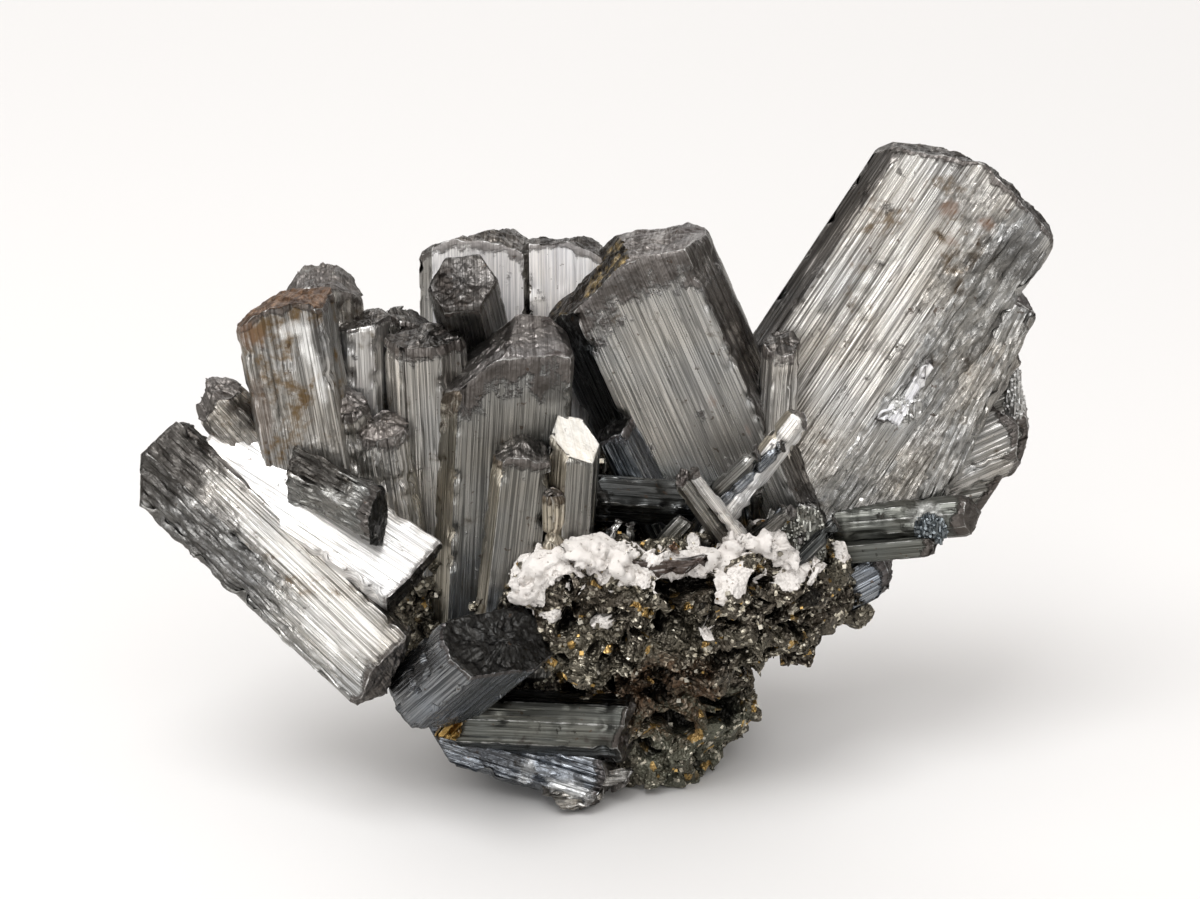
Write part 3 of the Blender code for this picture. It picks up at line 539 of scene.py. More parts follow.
# The pieces: the node that each replaces, the pitch of its mesh in mm, and its crystals.
SPRAY = {
    "bright_fracture": ("right_crystals", 0.2, [
        # A splinter and the broken patch that it stands on, in the pale finish: a painted highlight.
        Crystal(
            (35.6, 5, 43.6), (39.3, 5.6, 50.3), 1.3, 1.6, WEDGE, top=((0, 60, 0),), finish="pale",
            end="pale", coat=0.1,
        ),
        Crystal(
            (34.4, 5.6, 43.6), (38, 5.6, 46.6), 3.2, 2.6, ROUND, top=((0, 30, 0),), foot=((0, 40, 0),),
            finish="pale", end="pale", dull=1, rough=1.5, relief=2, coat=0.1,
        ),
    ]),
    "right_blade": ("right_crystals", 0.27, [
        # The blade.
        Crystal(
            (17.4, 9.5, 27.8), (46.4, 14.3, 72.8), 24.4, 11, BLADE, (-0.12, -0.98, 0.18),
            top=((180, 24, -1.4), (90, 8, 0), (0, 13, -0.9), (0, 40, -7.4), (180, 50, -9.6)),
            finish="silver", sides={0: "char", 7: "char", 2: "steel", 3: "steel"}, end="char", coat=1.2,
            ledges=30,
            marks=(
                ("dull", 7.6, 43, 6, 10, 1), ("dull", 9.6, 33, 4, 9, 0.8), ("dull", 2, 50, 6, 2.4, 0.7),
                ("dark", 9, 47.5, 4.5, 3.5, 0.6), ("dark", 5, 44, 1.2, 1.4, 0.7),
                ("dark", 3.8, 40.4, 1.6, 1, 0.5), ("dark", -7, 30, 0.7, 0.8, 0.6),
                ("stain", 1.5, 45, 0.8, 0.6, 0.7), ("dark", 11.6, 36, 1.2, 6, 0.6),
                ("bright", 8.1, 24.8, 1.8, 3, 0.9), ("bright", 7.2, 29, 0.5, 2.6, 0.9),
                ("dark", 6.4, 24.5, 0.35, 5, 0.8), ("stain", -0.9, 47.9, 1.2, 1, 0.9),
                ("stain", 3.6, 48.7, 1.1, 0.8, 0.9), ("pit", -4.2, 37.8, 0.8, 0.7, 1),
                # The dark mark at the pit is painted shade in it
                ("dark", -4.2, 37.8, 0.7, 0.6, 0.8), ("dull", 8.6, 9, 6, 9, 0.8),
                ("dull", 2, 14, 5, 6, 0.35),
            ),
        ),
        # Two crystals grown on its right edge.
        Crystal(
            (38.6, 7.6, 31), (51, 11.4, 58.4), 5.6, 6.4, WEDGE, (0.05, -1, 0.15),
            top=((0, 30, 0), (-90, 20, 0)), finish="steel", end="steel", relief=1.5, dull=0.6, coat=0.8,
        ),
        Crystal(
            (30, 8, 23.6), (48.8, 12.2, 53.4), 9, 9, BLADE, (0, -1, 0.15),
            top=((0, 26, 0), (180, 20, 0), (-90, 20, -1)), finish="silver", end="steel", relief=1.4,
            dull=0.5, coat=0.6,
            marks=(("dark", 3.6, 27, 1.6, 8, 0.5), ("dull", 1, 12, 4, 14, 0.9)),
        ),
    ]),
    "right_fan": ("right_crystals", 0.24, [
        # Three crystals behind the blade, the lowest nearly hidden.
        Crystal(
            (28, 11, 32), (53, 18, 41.6), 14.6, 8, SLAB, (0, -1, 0.3),
            top=((180, 26, -0.4), (0, 38, -0.6), (-90, 20, 0)), finish="lead", end="mirror", relief=1.3,
        ),
        Crystal(
            (28, 8.6, 31), (51.2, 12.6, 40.6), 10, 7, BLADE, (0.1, -1, 0.3), top=((0, 25, 0), (180, 30, 0)),
            finish="steel", end="steel", relief=1.2,
        ),
        Crystal((30, 11.5, 28.6), (48, 13, 32), 6, 8, SLAB, (0, -1, 0.1), top=((0, 40, 0),), finish="lead"),
        # A smooth, rounded stub.
        Crystal(
            (29, 6.4, 29.6), (46.4, 3.4, 32.4), 5.4, 6.2, ROUND, (0, -1, 0.3),
            top=((0, 30, 0), (-90, 30, 0), (180, 30, 0)), finish="dusk", end="dusk", relief=0.2, fine=0.3,
            marks=(("dull", 0, 11, 3, 3, 1), ("bright", -0.6, 11.6, 2, 2, 0.35)),
        ),
        # A thin sliver under it.
        Crystal(
            (28, 5, 26.9), (41.1, 3, 29), 2.4, 8, SLAB, (0, -1, 0.2), top=((0, 10, 0),), finish="dusk",
            end="dusk", relief=0.3,
        ),
        # A bluish crystal low down.
        Crystal(
            (25, 7, 19.4), (35.8, 6.4, 26), 6.4, 8.6, WEDGE, (0, -1, 0.1), top=((0, 34, 0), (-90, 20, -1)),
            finish="slate", end="slate", relief=0.4, fine=0.4,
        ),
        # One at the back.
        Crystal((23, 15, 24), (33, 24.5, 41), 10, 8, TALL, (0, -1, 0.4), top=((0, 30, 0), (90, 20, 0))),
        # A small one in the notch left of the blade.
        Crystal(
            (21, 4.4, 38), (21.8, 3.2, 54.7), 5, 6, HEXAGON, (0.1, -1, 0.2),
            top=((180, 10, 0), (-90, 10, 0)), finish="silver", end="char",
        ),
    ]),
    "leaning_prisms": ("leaning_crystals", 0.26, [
        # The leaning crystal.
        Crystal(
            (18.4, 7.1, 25.3), (1.6, 9.2, 63.9), 23.3, 12, SIX_SIDED, (-0.12, -1, 0),
            top=((0, 12, -0.6), (-95, 45, -5), (-160, 24, 0.3)), finish="steel",
            sides={0: "gloom", 2: "char", 3: "char"}, end=("frost", "frost", "flecked"), coat=8, ledges=8,
            relief=0.4, fine=0.7,
            marks=(
                ("dark", 10.6, 33, 1.6, 4, 0.6), ("dark", 9, 38.6, 3, 1.4, 0.5),
                ("dark", 1, 39, 5, 1.6, 0.45), ("stain", 5, 22, 0.6, 0.8, 0.6),
                ("stain", 7.6, 17, 0.4, 0.9, 0.6),
            ),
        ),
        # A dark one beside it.
        Crystal(
            (10.5, 3.2, 26), (1.6, 4.2, 44.5), 6.4, 7, HEXAGON, (-0.3, -1, 0),
            top=((180, 30, 0), (-90, 20, 0)), finish="slate", end="gloom", relief=0.5,
        ),
        # A dark one lying behind the crust.
        Crystal(
            (15, 2, 34), (-2, -2.4, 37), 6.4, 7, HEXAGON, (0, -0.8, 0.6), top=((180, 20, 0),),
            finish="gloom", end="gloom", relief=0.6,
        ),
    ]),
    "front_prisms": ("front_crystals", 0.24, [
        # The tall one.
        Crystal(
            (-13.5, 1, 14), (-11, 1, 56.2), 15.8, 12, TALL, (0.06, -1, 0),
            top=((-90, 6, 0), (180, 40, 0.4), (-100, 45, -4.8), (0, 30, -3.6)), finish="lead",
            sides={0: "bronze", 7: "bronze"}, end="frost", coat=7, ledges=10, relief=0.5,
            marks=(
                ("dark", 5, 37.5, 2.5, 1.6, 0.6), ("dark", -2, 40, 2, 1.5, 0.5),
                ("dark", 5, 12, 4, 12, 0.5),
            ),
        ),
        # Three small ones before it, the second with a bright end.
        Crystal(
            (-12, -7.6, 20), (-9, -7.6, 45.8), 6.8, 6.4, TALL, (0.1, -1, 0),
            top=((180, 32, 0), (0, 20, 0), (-90, 20, 0)), finish="lead", sides={0: "bronze", 7: "bronze"},
            end="char", coat=1.8, relief=0.5,
        ),
        Crystal(
            (-4.6, -7, 22), (-2.9, -7.2, 46), 6.5, 6.8, HEXAGON, (0.25, -1, 0), top=((-60, 28, 0),),
            finish="lead", sides={0: "bronze"}, end="chalky", coat=0.2, relief=0.5, rough=0.4,
        ),
        Crystal(
            (-5.4, -10.6, 27), (-5.5, -11, 41), 2.8, 3, HEXAGON, top=((0, 30, 0), (180, 20, 0)),
            finish="bronze",
        ),
    ]),
    "left_prisms": ("left_bundle", 0.24, [
        # The one with a rusty end.
        Crystal(
            (-32.9, -1.4, 30), (-37.5, 0, 61), 11.6, 10, TALL, (-0.15, -1, 0),
            top=((180, 26, -0.4), (90, 4, 0), (0, 35, -3.4)), finish="weathered", end="rust", coat=1.6,
            ledges=18, relief=1.2,
            marks=(
                ("stain", -3.4, 28.4, 2.4, 1.8, 0.7), ("bright", 4.2, 22, 0.7, 4, 0.9),
                ("bright", 1.8, 28.8, 2.4, 1, 0.8), ("bright", 3.4, 26, 0.9, 2, 0.8),
                ("dark", 5.0, 27, 0.6, 4, 0.8), ("stain", -3.6, 19, 1.4, 5, 0.35),
                ("dull", -2, 21, 3, 4, 0.5), ("dull", 2, 12, 4, 4, 0.5),
            ),
        ),
        # A rounded one behind it.
        Crystal(
            (-31, 8.4, 32), (-33.8, 8.4, 61.2), 10.4, 9.4, ROUND,
            top=((0, 40, -1.6), (180, 37, -1.5), (0, 0, 0)), finish="silver",
            end=("steel", "silver", "silver"), rough=1.8, dull=0.4,
        ),
        # Two slim ones.
        Crystal(
            (-28.2, 4.5, 30), (-28.3, 4.5, 57.4), 6.8, 7.6, HEXAGON, top=((180, 14, 0.3), (90, 4, 0)),
            finish="satin", end="char", relief=0.3, fine=0.4, coat=1,
        ),
        Crystal(
            (-22.2, 8.6, 30), (-23, 8.8, 55.9), 6.4, 6.8, HEXAGON, (0.2, -1, 0.2), top=((0, 22, 0),),
            finish="steel", end="char",
        ),
        # The stepped one.
        Crystal(
            (-20, 2, 26), (-20.9, 2.2, 55.6), 10, 8.4, HEXAGON, (-0.1, -1, 0), top=((-90, 2, 0),),
            finish="steel", sides={0: "silver", 2: "lead"}, end="char", ledges=14,
        ),
        # Two broken ones low down.
        Crystal(
            (-24, -2.6, 30), (-26, -2.8, 47), 7, 6.4, ROUND, top=((180, 22, 0), (-90, 30, 0), (0, 20, 0)),
            finish="steel", relief=1.4, dull=0.3,
        ),
        Crystal(
            (-28, -1, 34), (-30, -2.4, 49.6), 5.2, 6, ROUND, top=((0, 22, 0), (-90, 20, 0)), finish="steel",
            dull=0.5,
        ),
    ]),
    "back_prisms": ("back_crystals", 0.26, [
        # Two with bright faces, whose pale side faces are a painted highlight.
        Crystal(
            (-15.4, 16.5, 27), (-15.3, 16.5, 63.2), 13.6, 9, TALL, (-0.05, -1, 0),
            top=((133, 24, -0.6), (0, 4, -1.2), (0, 25, -2.6), (180, 40, -4.4)), finish="steel",
            sides={1: "pale"}, end="char", coat=2.2, relief=0.8,
        ),
        Crystal(
            (-4, 16, 27), (-4.3, 16, 63.2), 10, 8, SLAB, (0.05, -1, 0), top=((90, 12, -0.2), (0, 26, -1)),
            finish="steel", sides={1: "pale"}, end="char", coat=1.4, relief=0.8,
        ),
        # Two at the back.
        Crystal((-1, 18, 25), (5, 25.5, 45), 9, 8, BLADE, (0, -1, 0.3), top=((90, 20, 0), (0, 30, 0))),
        Crystal((-18, 18, 25), (-25, 25, 41), 8, 7, HEXAGON, (0, -1, 0.3), top=((180, 30, 0), (90, 15, 0))),
        # One that points to the front.
        Crystal(
            (-14.7, 14.9, 48.7), (-16.4, 4, 61.8), 8.6, 8.4, HEXAGON, (0, -1, -0.6),
            top=((0, 0, 0), (90, 35, -2.4), (-90, 35, -2.4)), finish="lead", end="char", coat=1,
        ),
    ]),
    "lying_prisms": ("lying_crystals", 0.24, [
        # The long one.
        Crystal(
            (-53.6, -2.5, 42.8), (-24.6, -15.6, 19.2), 11.6, 9, KEEL, (0.08, -0.82, 0.57),
            top=((0, 22, -1.2), (180, 20, 0), (-90, 20, 0)),
            foot=((180, 42, -3.4), (0, 42, -1.2), (0, 0, 0.4)), finish="steel",
            sides={0: "char", 1: "silver", 6: "char"}, end="frost", foot_end="char", ledges=26, relief=1.3,
            coat=1,
            marks=(
                ("dull", 2, 4, 7, 6, 1), ("dark", 0, 3.5, 7, 6, 1), ("dull", 4.2, 14, 4.2, 13, 1),
                ("dark", 5, 13, 3.8, 13, 0.7), ("dark", 1, 12, 2, 4, 0.6),
                ("bright", -1.6, 20, 1.5, 7, 0.5), ("bright", 0.4, 31.6, 3.2, 6, 0.6),
                ("dull", 6, 30, 2, 10, 0.8),
            ),
        ),
        # The bright one above it, its near-white finish partly a painted reflection.
        Crystal(
            (-46.5, 0.5, 42), (-21.8, -10.6, 29.2), 10.2, 8.4, SLAB, (0, -0.75, 0.66),
            top=((0, 6, 0), (90, 20, 0)), finish="mirror", end="char", coat=0.5, relief=0.35,
        ),
        # A short dark one across it.
        Crystal(
            (-36, -5.5, 40.9), (-25, -13, 37.6), 7, 6.6, HEXAGON, (0, -0.7, 0.7),
            top=((-90, 10, 0), (180, 26, 1)), foot=((0, 22, 0),), finish="lead", end="gloom", dull=0.7,
            relief=1.6,
            marks=(
                ("dark", -1.4, 3, 3.6, 5.6, 1), ("dull", 0, 4, 4, 5, 1), ("bright", 1.6, 9, 0.5, 1.6, 0.6),
            ),
        ),
        # A rough knob.
        Crystal(
            (-36, 1, 36), (-46.3, -1, 49.8), 7, 6.8, ROUND, (0, -1, 0.3), top=((0, 30, 0), (180, 30, 0)),
            finish="silver", end="steel", dull=0.4, rough=2.4, coat=0.3,
            marks=(("dark", 1.6, 14, 1.4, 3, 0.9),),
        ),
    ]),
    "lower_dark_prism": ("lower_dark_crystal", 0.22, [
        # The stub.
        Crystal(
            (-19.5, -8.5, 13.8), (-11.6, -19, 25.3), 15, 8.6, BLADE, (0.29, -0.53, -0.68),
            top=((90, 14, 0), (0, 20, -1)), foot=((180, 16, 0), (0, 30, 0)), finish="slate", end="gloom",
            ledges=8, relief=0.5, coat=1.4, rough=1.6,
            marks=(("dull", -2, 2, 6, 3, 0.6),),
        ),
    ]),
    "base_prisms": ("base_crystals", 0.22, [
        # The level one.
        Crystal(
            (-17.5, -4, 8.2), (3.6, -8.8, 9.4), 8.8, 9.6, ROUND, (0, -1, 0.3), top=((0, 8, 0),),
            foot=((0, 30, 0),), finish="gloom", sides={1: "dusk", 2: "dusk"}, end="frost", relief=0.35,
            fine=0.5, ledges=8, coat=1,
        ),
        # The flaky one that the spray stands on.
        Crystal(
            (-20, -3, 6.6), (2, -9, 2), 6.4, 10, SLAB, (0, -1, 0.3), top=((180, 30, 0), (0, 14, 1)),
            foot=((0, 48, 0.6),), finish="slate", end="frost", relief=1.6, dull=0.5, ledges=24,
            marks=(
                ("bright", 2, 19, 1.6, 3, 0.6), ("dark", -1, 9, 3, 6, 0.6), ("bright", 0.5, 13, 2, 1, 0.4),
            ),
        ),
        # Three small lumps beside them.
        Crystal(
            (-1, -11, 3.4), (2.6, -9.4, 2.8), 3.6, 3.4, ROUND, top=((0, 40, 0),), foot=((0, 40, 0),),
            finish="silver", end="silver", dull=1, rough=1.4, relief=2, coat=0.4,
        ),
        Crystal(
            (-5.6, -12.4, 1.8), (-1, -12.4, 1.7), 3.4, 3.2, ROUND, top=((0, 40, 0),), foot=((0, 40, 0),),
            finish="silver", end="silver", dull=1, rough=1.4, relief=2, coat=0.4,
        ),
        Crystal(
            (-18.8, -9.6, 8.4), (-17, -8.6, 10), 2.6, 2.4, ROUND, top=((0, 30, 0),), foot=((0, 30, 0),),
            finish="gilt", end="gilt", dull=1, rough=1, relief=1.6,
        ),
    ]),
    "crust_flakes": ("white_crust", 0.16, [
        # A brown flake and a small orange one.
        Crystal(
            (5.4, -15.4, 32.7), (11.2, -15, 33.2), 2.3, 1.6, ROUND, (0, -1, 0.9), top=((0, 50, 0),),
            foot=((0, 55, 0),), finish="umber", foot_end="umber", end="umber", relief=0.6, dull=1,
            rough=1.6, coat=0.1,
        ),
        Crystal((8.2, -12.6, 34.2), (9, -12.4, 34.6), 1.1, 1, ROUND, finish="rust", end="gilt", coat=0.1),
    ]),
    "needle_prisms": ("needle_crystals", 0.16, [
        # Five, which cross one another.
        Crystal(
            (14.6, -6.5, 33.4), (9.6, -10, 42), 2.7, 2.8, HEXAGON, top=((180, 20, 0),), finish="lead",
            coat=0.4, relief=0.3,
        ),
        Crystal(
            (16.8, -7, 33.6), (11, -10.4, 42.8), 1.9, 2.4, HEXAGON, top=((180, 12, 0),), finish="mirror",
            end="silver", coat=0.3, relief=0.3,
        ),
        Crystal(
            (14.4, -5, 35.2), (23.8, -4.6, 48), 3.6, 3.8, HEXAGON, (0, -1, 0.5),
            top=((0, 30, 0), (180, 20, 0)), finish="mirror", sides={0: "bronze"}, end="silver", coat=0.3,
            relief=0.3,
        ),
        Crystal(
            (12.8, -6, 35.8), (21.5, -7, 45), 1.8, 2, ROUND, top=((0, 20, 0),), finish="slate", end="char",
            coat=0.6, relief=0.4,
        ),
        Crystal(
            (13, -5.4, 37.6), (18.6, -7.4, 44.2), 2.4, 2.4, HEXAGON, top=((0, 30, 0),), finish="lead",
            end="char", coat=0.6, relief=0.4,
        ),
    ]),
}


# ---------------------------------------------------------------- finishes

class Wiring:
    """Makes nodes in one tree and joins them."""

    def __init__(self, tree):
        self.tree = tree

    def node(self, kind, links=(), **settings):
        made = self.tree.nodes.new(kind)
        for name, value in settings.items():
            setattr(made, name, value)
        for key, value in dict(links).items():
            if isinstance(value, bpy.types.NodeSocket):
                self.tree.links.new(value, made.inputs[key])
            else:
                made.inputs[key].default_value = value
        return made

    def join(self, value, socket):
        self.tree.links.new(value, socket)

    def math(self, operation, first, second=0.0, clamp=False):
        made = self.node("ShaderNodeMath", {0: first, 1: second}, operation=operation, use_clamp=clamp)
        return made.outputs[0]

    def plus(self, first, second, clamp=False):
        return self.math("ADD", first, second, clamp)

    def minus(self, first, second, clamp=False):
        return self.math("SUBTRACT", first, second, clamp)

    def times(self, first, second, clamp=False):
        return self.math("MULTIPLY", first, second, clamp)

    def larger(self, first, second):
        return self.math("MAXIMUM", first, second)

    def blend(self, share, first, second, kind="MIX"):
        made = self.node("ShaderNodeMix", {0: share, 6: first, 7: second}, data_type="RGBA", blend_type=kind)
        return made.outputs[2]

    def between(self, share, first, second):
        return self.node("ShaderNodeMix", {0: share, 2: first, 3: second}, data_type="FLOAT").outputs[0]

    def step(self, value, low, high):
        links = {"Value": value, "From Min": low, "From Max": high}
        return self.node("ShaderNodeMapRange", links, interpolation_type="SMOOTHSTEP").outputs[0]

    def noise(self, vector, scale, detail=3.0, roughness=0.5, distortion=0.0):
        shape = {"Scale": scale, "Detail": detail, "Roughness": roughness, "Distortion": distortion}
        return self.node("ShaderNodeTexNoise", {"Vector": vector, **shape}).outputs["Fac"]

    def cells(self, vector, scale, feature="F1"):
        return self.node("ShaderNodeTexVoronoi", {"Vector": vector, "Scale": scale}, feature=feature)

    def bump(self, height, strength, distance):
        links = {"Height": height, "Strength": strength, "Distance": distance}
        return self.node("ShaderNodeBump", links).outputs[0]

    def group(self, tree, links):
        return self.node("ShaderNodeGroup", links, node_tree=tree).outputs

    def value(self, name):
        return self.node("ShaderNodeAttribute", attribute_name=name).outputs["Fac"]


def node_group(name, inputs, outputs):
    """An empty group with named sockets: its wiring, its input sockets and its output node."""
    tree = bpy.data.node_groups.new(name, "ShaderNodeTree")
    for title, kind in inputs:
        tree.interface.new_socket(title, in_out="INPUT", socket_type=kind)
    for title in outputs:
        tree.interface.new_socket(title, in_out="OUTPUT", socket_type="NodeSocketFloat")
    wiring = Wiring(tree)
    return wiring, tree.nodes.new("NodeGroupInput").outputs, tree.nodes.new("NodeGroupOutput"), tree


def growth_line_group():
    """Fine lines, broader bands, short flakes and open grooves along a prism. Its Streak is painted sheen and
    painted shade of the lines, with some real marks, and painted shade in the grooves.
    """
    inputs = [("Lay", "NodeSocketVector"), ("Fineness", "NodeSocketFloat"), ("Flaking", "NodeSocketFloat")]
    wiring, given, out, tree = node_group("growth lines", inputs, ["Height", "Streak"])

    def stretched(across, along):
        spread = wiring.node("ShaderNodeCombineXYZ", {0: across, 1: along, 2: 1.0}).outputs[0]
        factors = {0: given["Lay"], 1: spread}
        return wiring.node("ShaderNodeVectorMath", factors, operation="MULTIPLY").outputs[0]

    def spared(share, amount):
        return wiring.minus(1.0, wiring.times(share, amount))

    fine = wiring.noise(stretched(given["Fineness"], 0.04), 1.0, 3.0, 0.72)
    bands = wiring.noise(stretched(1.0, 0.03), 0.55, 3.0, 0.6)
    dashes = wiring.cells(stretched(5.0, 1.1), 1.0)
    pick = wiring.node("ShaderNodeSeparateColor", {0: dashes.outputs["Color"]}).outputs[0]
    rift = wiring.minus(wiring.noise(stretched(1.3, 0.03), 1.0, 1.0, 0.5), 0.5)
    groove = wiring.minus(1.0, wiring.step(wiring.math("ABSOLUTE", rift), 0.0, 0.018))
    both = wiring.plus(wiring.times(fine, 0.8), wiring.times(bands, 0.2))
    streak = wiring.step(both, 0.4, 0.6)
    chance = spared(given["Flaking"], 0.5)
    # flash and shade: flakes raised with a painted glint, and flakes sunk with painted shade
    flash = wiring.step(pick, chance, wiring.plus(chance, 0.04))
    shade = wiring.step(wiring.minus(1.0, pick), chance, wiring.plus(chance, 0.04))
    streak = wiring.larger(streak, flash)
    streak = wiring.times(streak, spared(shade, 0.8))
    # The grooves darkened: painted shade in them
    streak = wiring.times(streak, spared(groove, 0.8))
    height = wiring.plus(both, wiring.times(wiring.minus(flash, shade), 0.35))
    height = wiring.minus(height, wiring.times(groove, 0.5))
    wiring.join(height, out.inputs["Height"])
    wiring.join(streak, out.inputs["Streak"])
    return tree


def frosting_group():
    """The dull, sugary film that creeps down from the ends."""
    wiring, given, out, tree = node_group(
        "end frosting", [("Place", "NodeSocketVector"), ("Coat", "NodeSocketFloat")], ["Mask", "Height"]
    )
    ragged = wiring.noise(given["Place"], 380.0, 7.0, 0.7)
    lift = wiring.times(wiring.minus(ragged, 0.5), 3.2)
    mask = wiring.step(wiring.plus(given["Coat"], lift), 0.35, 0.75)
    sugar = wiring.noise(given["Place"], 1500.0, 4.0, 0.6)
    swells = wiring.noise(given["Place"], 620.0, 2.0, 0.5)
    wiring.join(mask, out.inputs["Mask"])
    wiring.join(wiring.plus(sugar, wiring.times(swells, 1.6)), out.inputs["Height"])
    return tree


def film_group():
    """Patches of tarnish and dirt."""
    wiring, given, out, tree = node_group(
        "tarnish film", [("Place", "NodeSocketVector"), ("Amount", "NodeSocketFloat")], ["Mask"]
    )
    clouds = wiring.noise(given["Place"], 150.0, 7.0, 0.6, 0.6)
    specks = wiring.noise(given["Place"], 900.0, 4.0, 0.6)
    both = wiring.plus(wiring.times(clouds, 0.7), wiring.times(specks, 0.3))
    start = wiring.minus(0.62, wiring.times(given["Amount"], 0.2))
    wiring.join(wiring.step(both, start, wiring.plus(start, 0.12)), out.inputs["Mask"])
    return tree


def wear_and_highlight_group():
    """Broken, brighter metal along the edges, partly a painted highlight."""
    wiring, given, out, tree = node_group(
        "edge wear and highlight", [("Place", "NodeSocketVector"), ("Edge", "NodeSocketFloat")], ["Mask"]
    )
    gaps = wiring.noise(given["Place"], 520.0, 5.0, 0.7)
    wiring.join(wiring.step(wiring.times(given["Edge"], gaps), 0.38, 0.56), out.inputs["Mask"])
    return tree


def grain_group():
    """Close-packed mineral grains: a random value and a rounded height for each."""
    wiring, given, out, tree = node_group(
        "mineral grains", [("Place", "NodeSocketVector"), ("Scale", "NodeSocketFloat")], ["Pick", "Height"]
    )
    cells = wiring.cells(given["Place"], given["Scale"])
    pick = wiring.node("ShaderNodeSeparateColor", {0: cells.outputs["Color"]}).outputs[0]
    wiring.join(pick, out.inputs["Pick"])
    wiring.join(wiring.minus(1.0, cells.outputs["Distance"]), out.inputs["Height"])
    return tree


def material_wiring(name):
    """A new material: its wiring, its main shader and its object coordinates."""
    material = bpy.data.materials.new(name)
    material.use_nodes = True
    wiring = Wiring(material.node_tree)
    shader = material.node_tree.nodes["Principled BSDF"]
    place = wiring.node("ShaderNodeTexCoord").outputs["Object"]
    return material, wiring, shader, place


def stibnite(name, groups):
    """The metallic crystal skin, from one row of FINISHES and the values that the crystals carry."""
    light, dark, film, film_share, roughness, metallic, line_depth, fineness = FINISHES[name]
    material, wiring, shader, place = material_wiring("stibnite " + name)
    lay = wiring.node("ShaderNodeUVMap", uv_map="lay").outputs[0]
    stain, bright, dull, dark_mark = [wiring.value(layer) for layer in LAYERS[2:]]
    patchy = wiring.times(wiring.step(wiring.noise(place, 260.0, 3.0, 0.6), 0.45, 0.65), 0.03)
    flaking = wiring.plus(wiring.times(dull, 0.7), patchy, clamp=True)
    lines = wiring.group(groups["lines"], {"Lay": lay, "Fineness": fineness, "Flaking": flaking})
    frost = wiring.group(groups["frosting"], {"Place": place, "Coat": wiring.value("coat")})
    tarnish = wiring.group(groups["film"], {"Place": place, "Amount": film_share})
    edge_wear_and_highlight = wiring.group(groups["wear_and_highlight"], {"Place": place, "Edge": wiring.value("edge")})

    blotch = wiring.between(wiring.step(wiring.noise(place, 800.0, 5.0, 0.7), 0.4, 0.62), 0.12, 0.8)
    # The lines' Streak mixes dark and light: painted sheen and painted shade of the growth lines, with some
    # real marks
    pattern = wiring.between(wiring.times(dull, 0.75, clamp=True), lines["Streak"], blotch)
    colour = wiring.blend(pattern, (*dark, 1), (*light, 1))
    mood = wiring.blend(wiring.noise(place, 110.0, 3.0, 0.5), (1.1, 1.01, 0.9, 1), (0.92, 0.97, 1.05, 1))
    colour = wiring.blend(1.0, colour, mood, "MULTIPLY")
    colour = wiring.blend(tarnish["Mask"], colour, (*film, 1))
    if name in GROWN_ENDS:
        coat = wiring.times(frost["Mask"], 0.35)
        colour = wiring.blend(coat, colour, (*dark, 1))
    else:
        coat = wiring.times(frost["Mask"], 0.8)
        colour = wiring.blend(coat, colour, COAT.get(name, PLAIN_COAT))
    colour = wiring.blend(wiring.times(dull, 0.3), colour, (*dark, 1))
    specks = wiring.step(wiring.noise(place, 1000.0, 3.0, 0.6), 0.67, 0.7)
    colour = wiring.blend(wiring.times(specks, 0.7), colour, SPECK)
    # Dark marks: patches painted darker; the one in the blade's pit is painted shade
    colour = wiring.blend(wiring.times(dark_mark, 0.85), colour, DARK_MARK_TONE)
    # Along the edges: worn, brighter metal, partly a painted highlight
    broken = wiring.blend(0.5, (*light, 1), FRESH_METAL_AND_HIGHLIGHT)
    colour = wiring.blend(wiring.times(edge_wear_and_highlight["Mask"], 0.6), colour, broken)
    colour = wiring.blend(wiring.times(stain, wiring.between(pattern, 1.0, 0.55)), colour, STAIN)
    # Bright marks: fresh breaks in the metal, partly painted highlights
    colour = wiring.blend(wiring.times(bright, wiring.between(pattern, 0.2, 1.0)), colour, FRESH_METAL_AND_HIGHLIGHT)
    wiring.join(colour, shader.inputs["Base Color"])

    less_metal = wiring.larger(wiring.times(bright, 0.7), wiring.times(stain, 0.8))
    metal = wiring.minus(metallic, less_metal, clamp=True)
    wiring.join(metal, shader.inputs["Metallic"])
    rough = wiring.between(lines["Streak"], roughness + 0.1, roughness)
    rough = wiring.between(coat, rough, 0.36)
    rough = wiring.between(bright, rough, 0.22)
    wiring.join(rough, shader.inputs["Roughness"])

    rugged = wiring.larger(frost["Mask"], wiring.times(dull, 0.8))
    rugged = wiring.plus(rugged, dark_mark, clamp=True)
    sugar = wiring.times(wiring.times(frost["Height"], rugged), 1.5)
    depth = wiring.between(dull, line_depth, line_depth * 0.3)
    height = wiring.plus(wiring.times(lines["Height"], depth), sugar)
    wiring.join(wiring.bump(height, 0.8, LINE_BUMP), shader.inputs["Normal"])
    return material


def region_group():
    """A ragged round region: where it is, and how far it reaches."""
    inputs = [("Place", "NodeSocketVector"), ("Centre", "NodeSocketVector"), ("Reach", "NodeSocketFloat")]
    wiring, given, out, tree = node_group("ragged region", inputs, ["Mask"])
    ends = {0: given["Place"], 1: given["Centre"]}
    gone = wiring.node("ShaderNodeVectorMath", ends, operation="DISTANCE").outputs["Value"]
    ragged = wiring.times(wiring.noise(given["Place"], 420.0, 4.0, 0.6), 0.9)
    near = wiring.minus(1.45, wiring.plus(wiring.math("DIVIDE", gone, given["Reach"]), ragged))
    wiring.join(wiring.step(near, 0.0, 0.3), out.inputs["Mask"])
    return tree


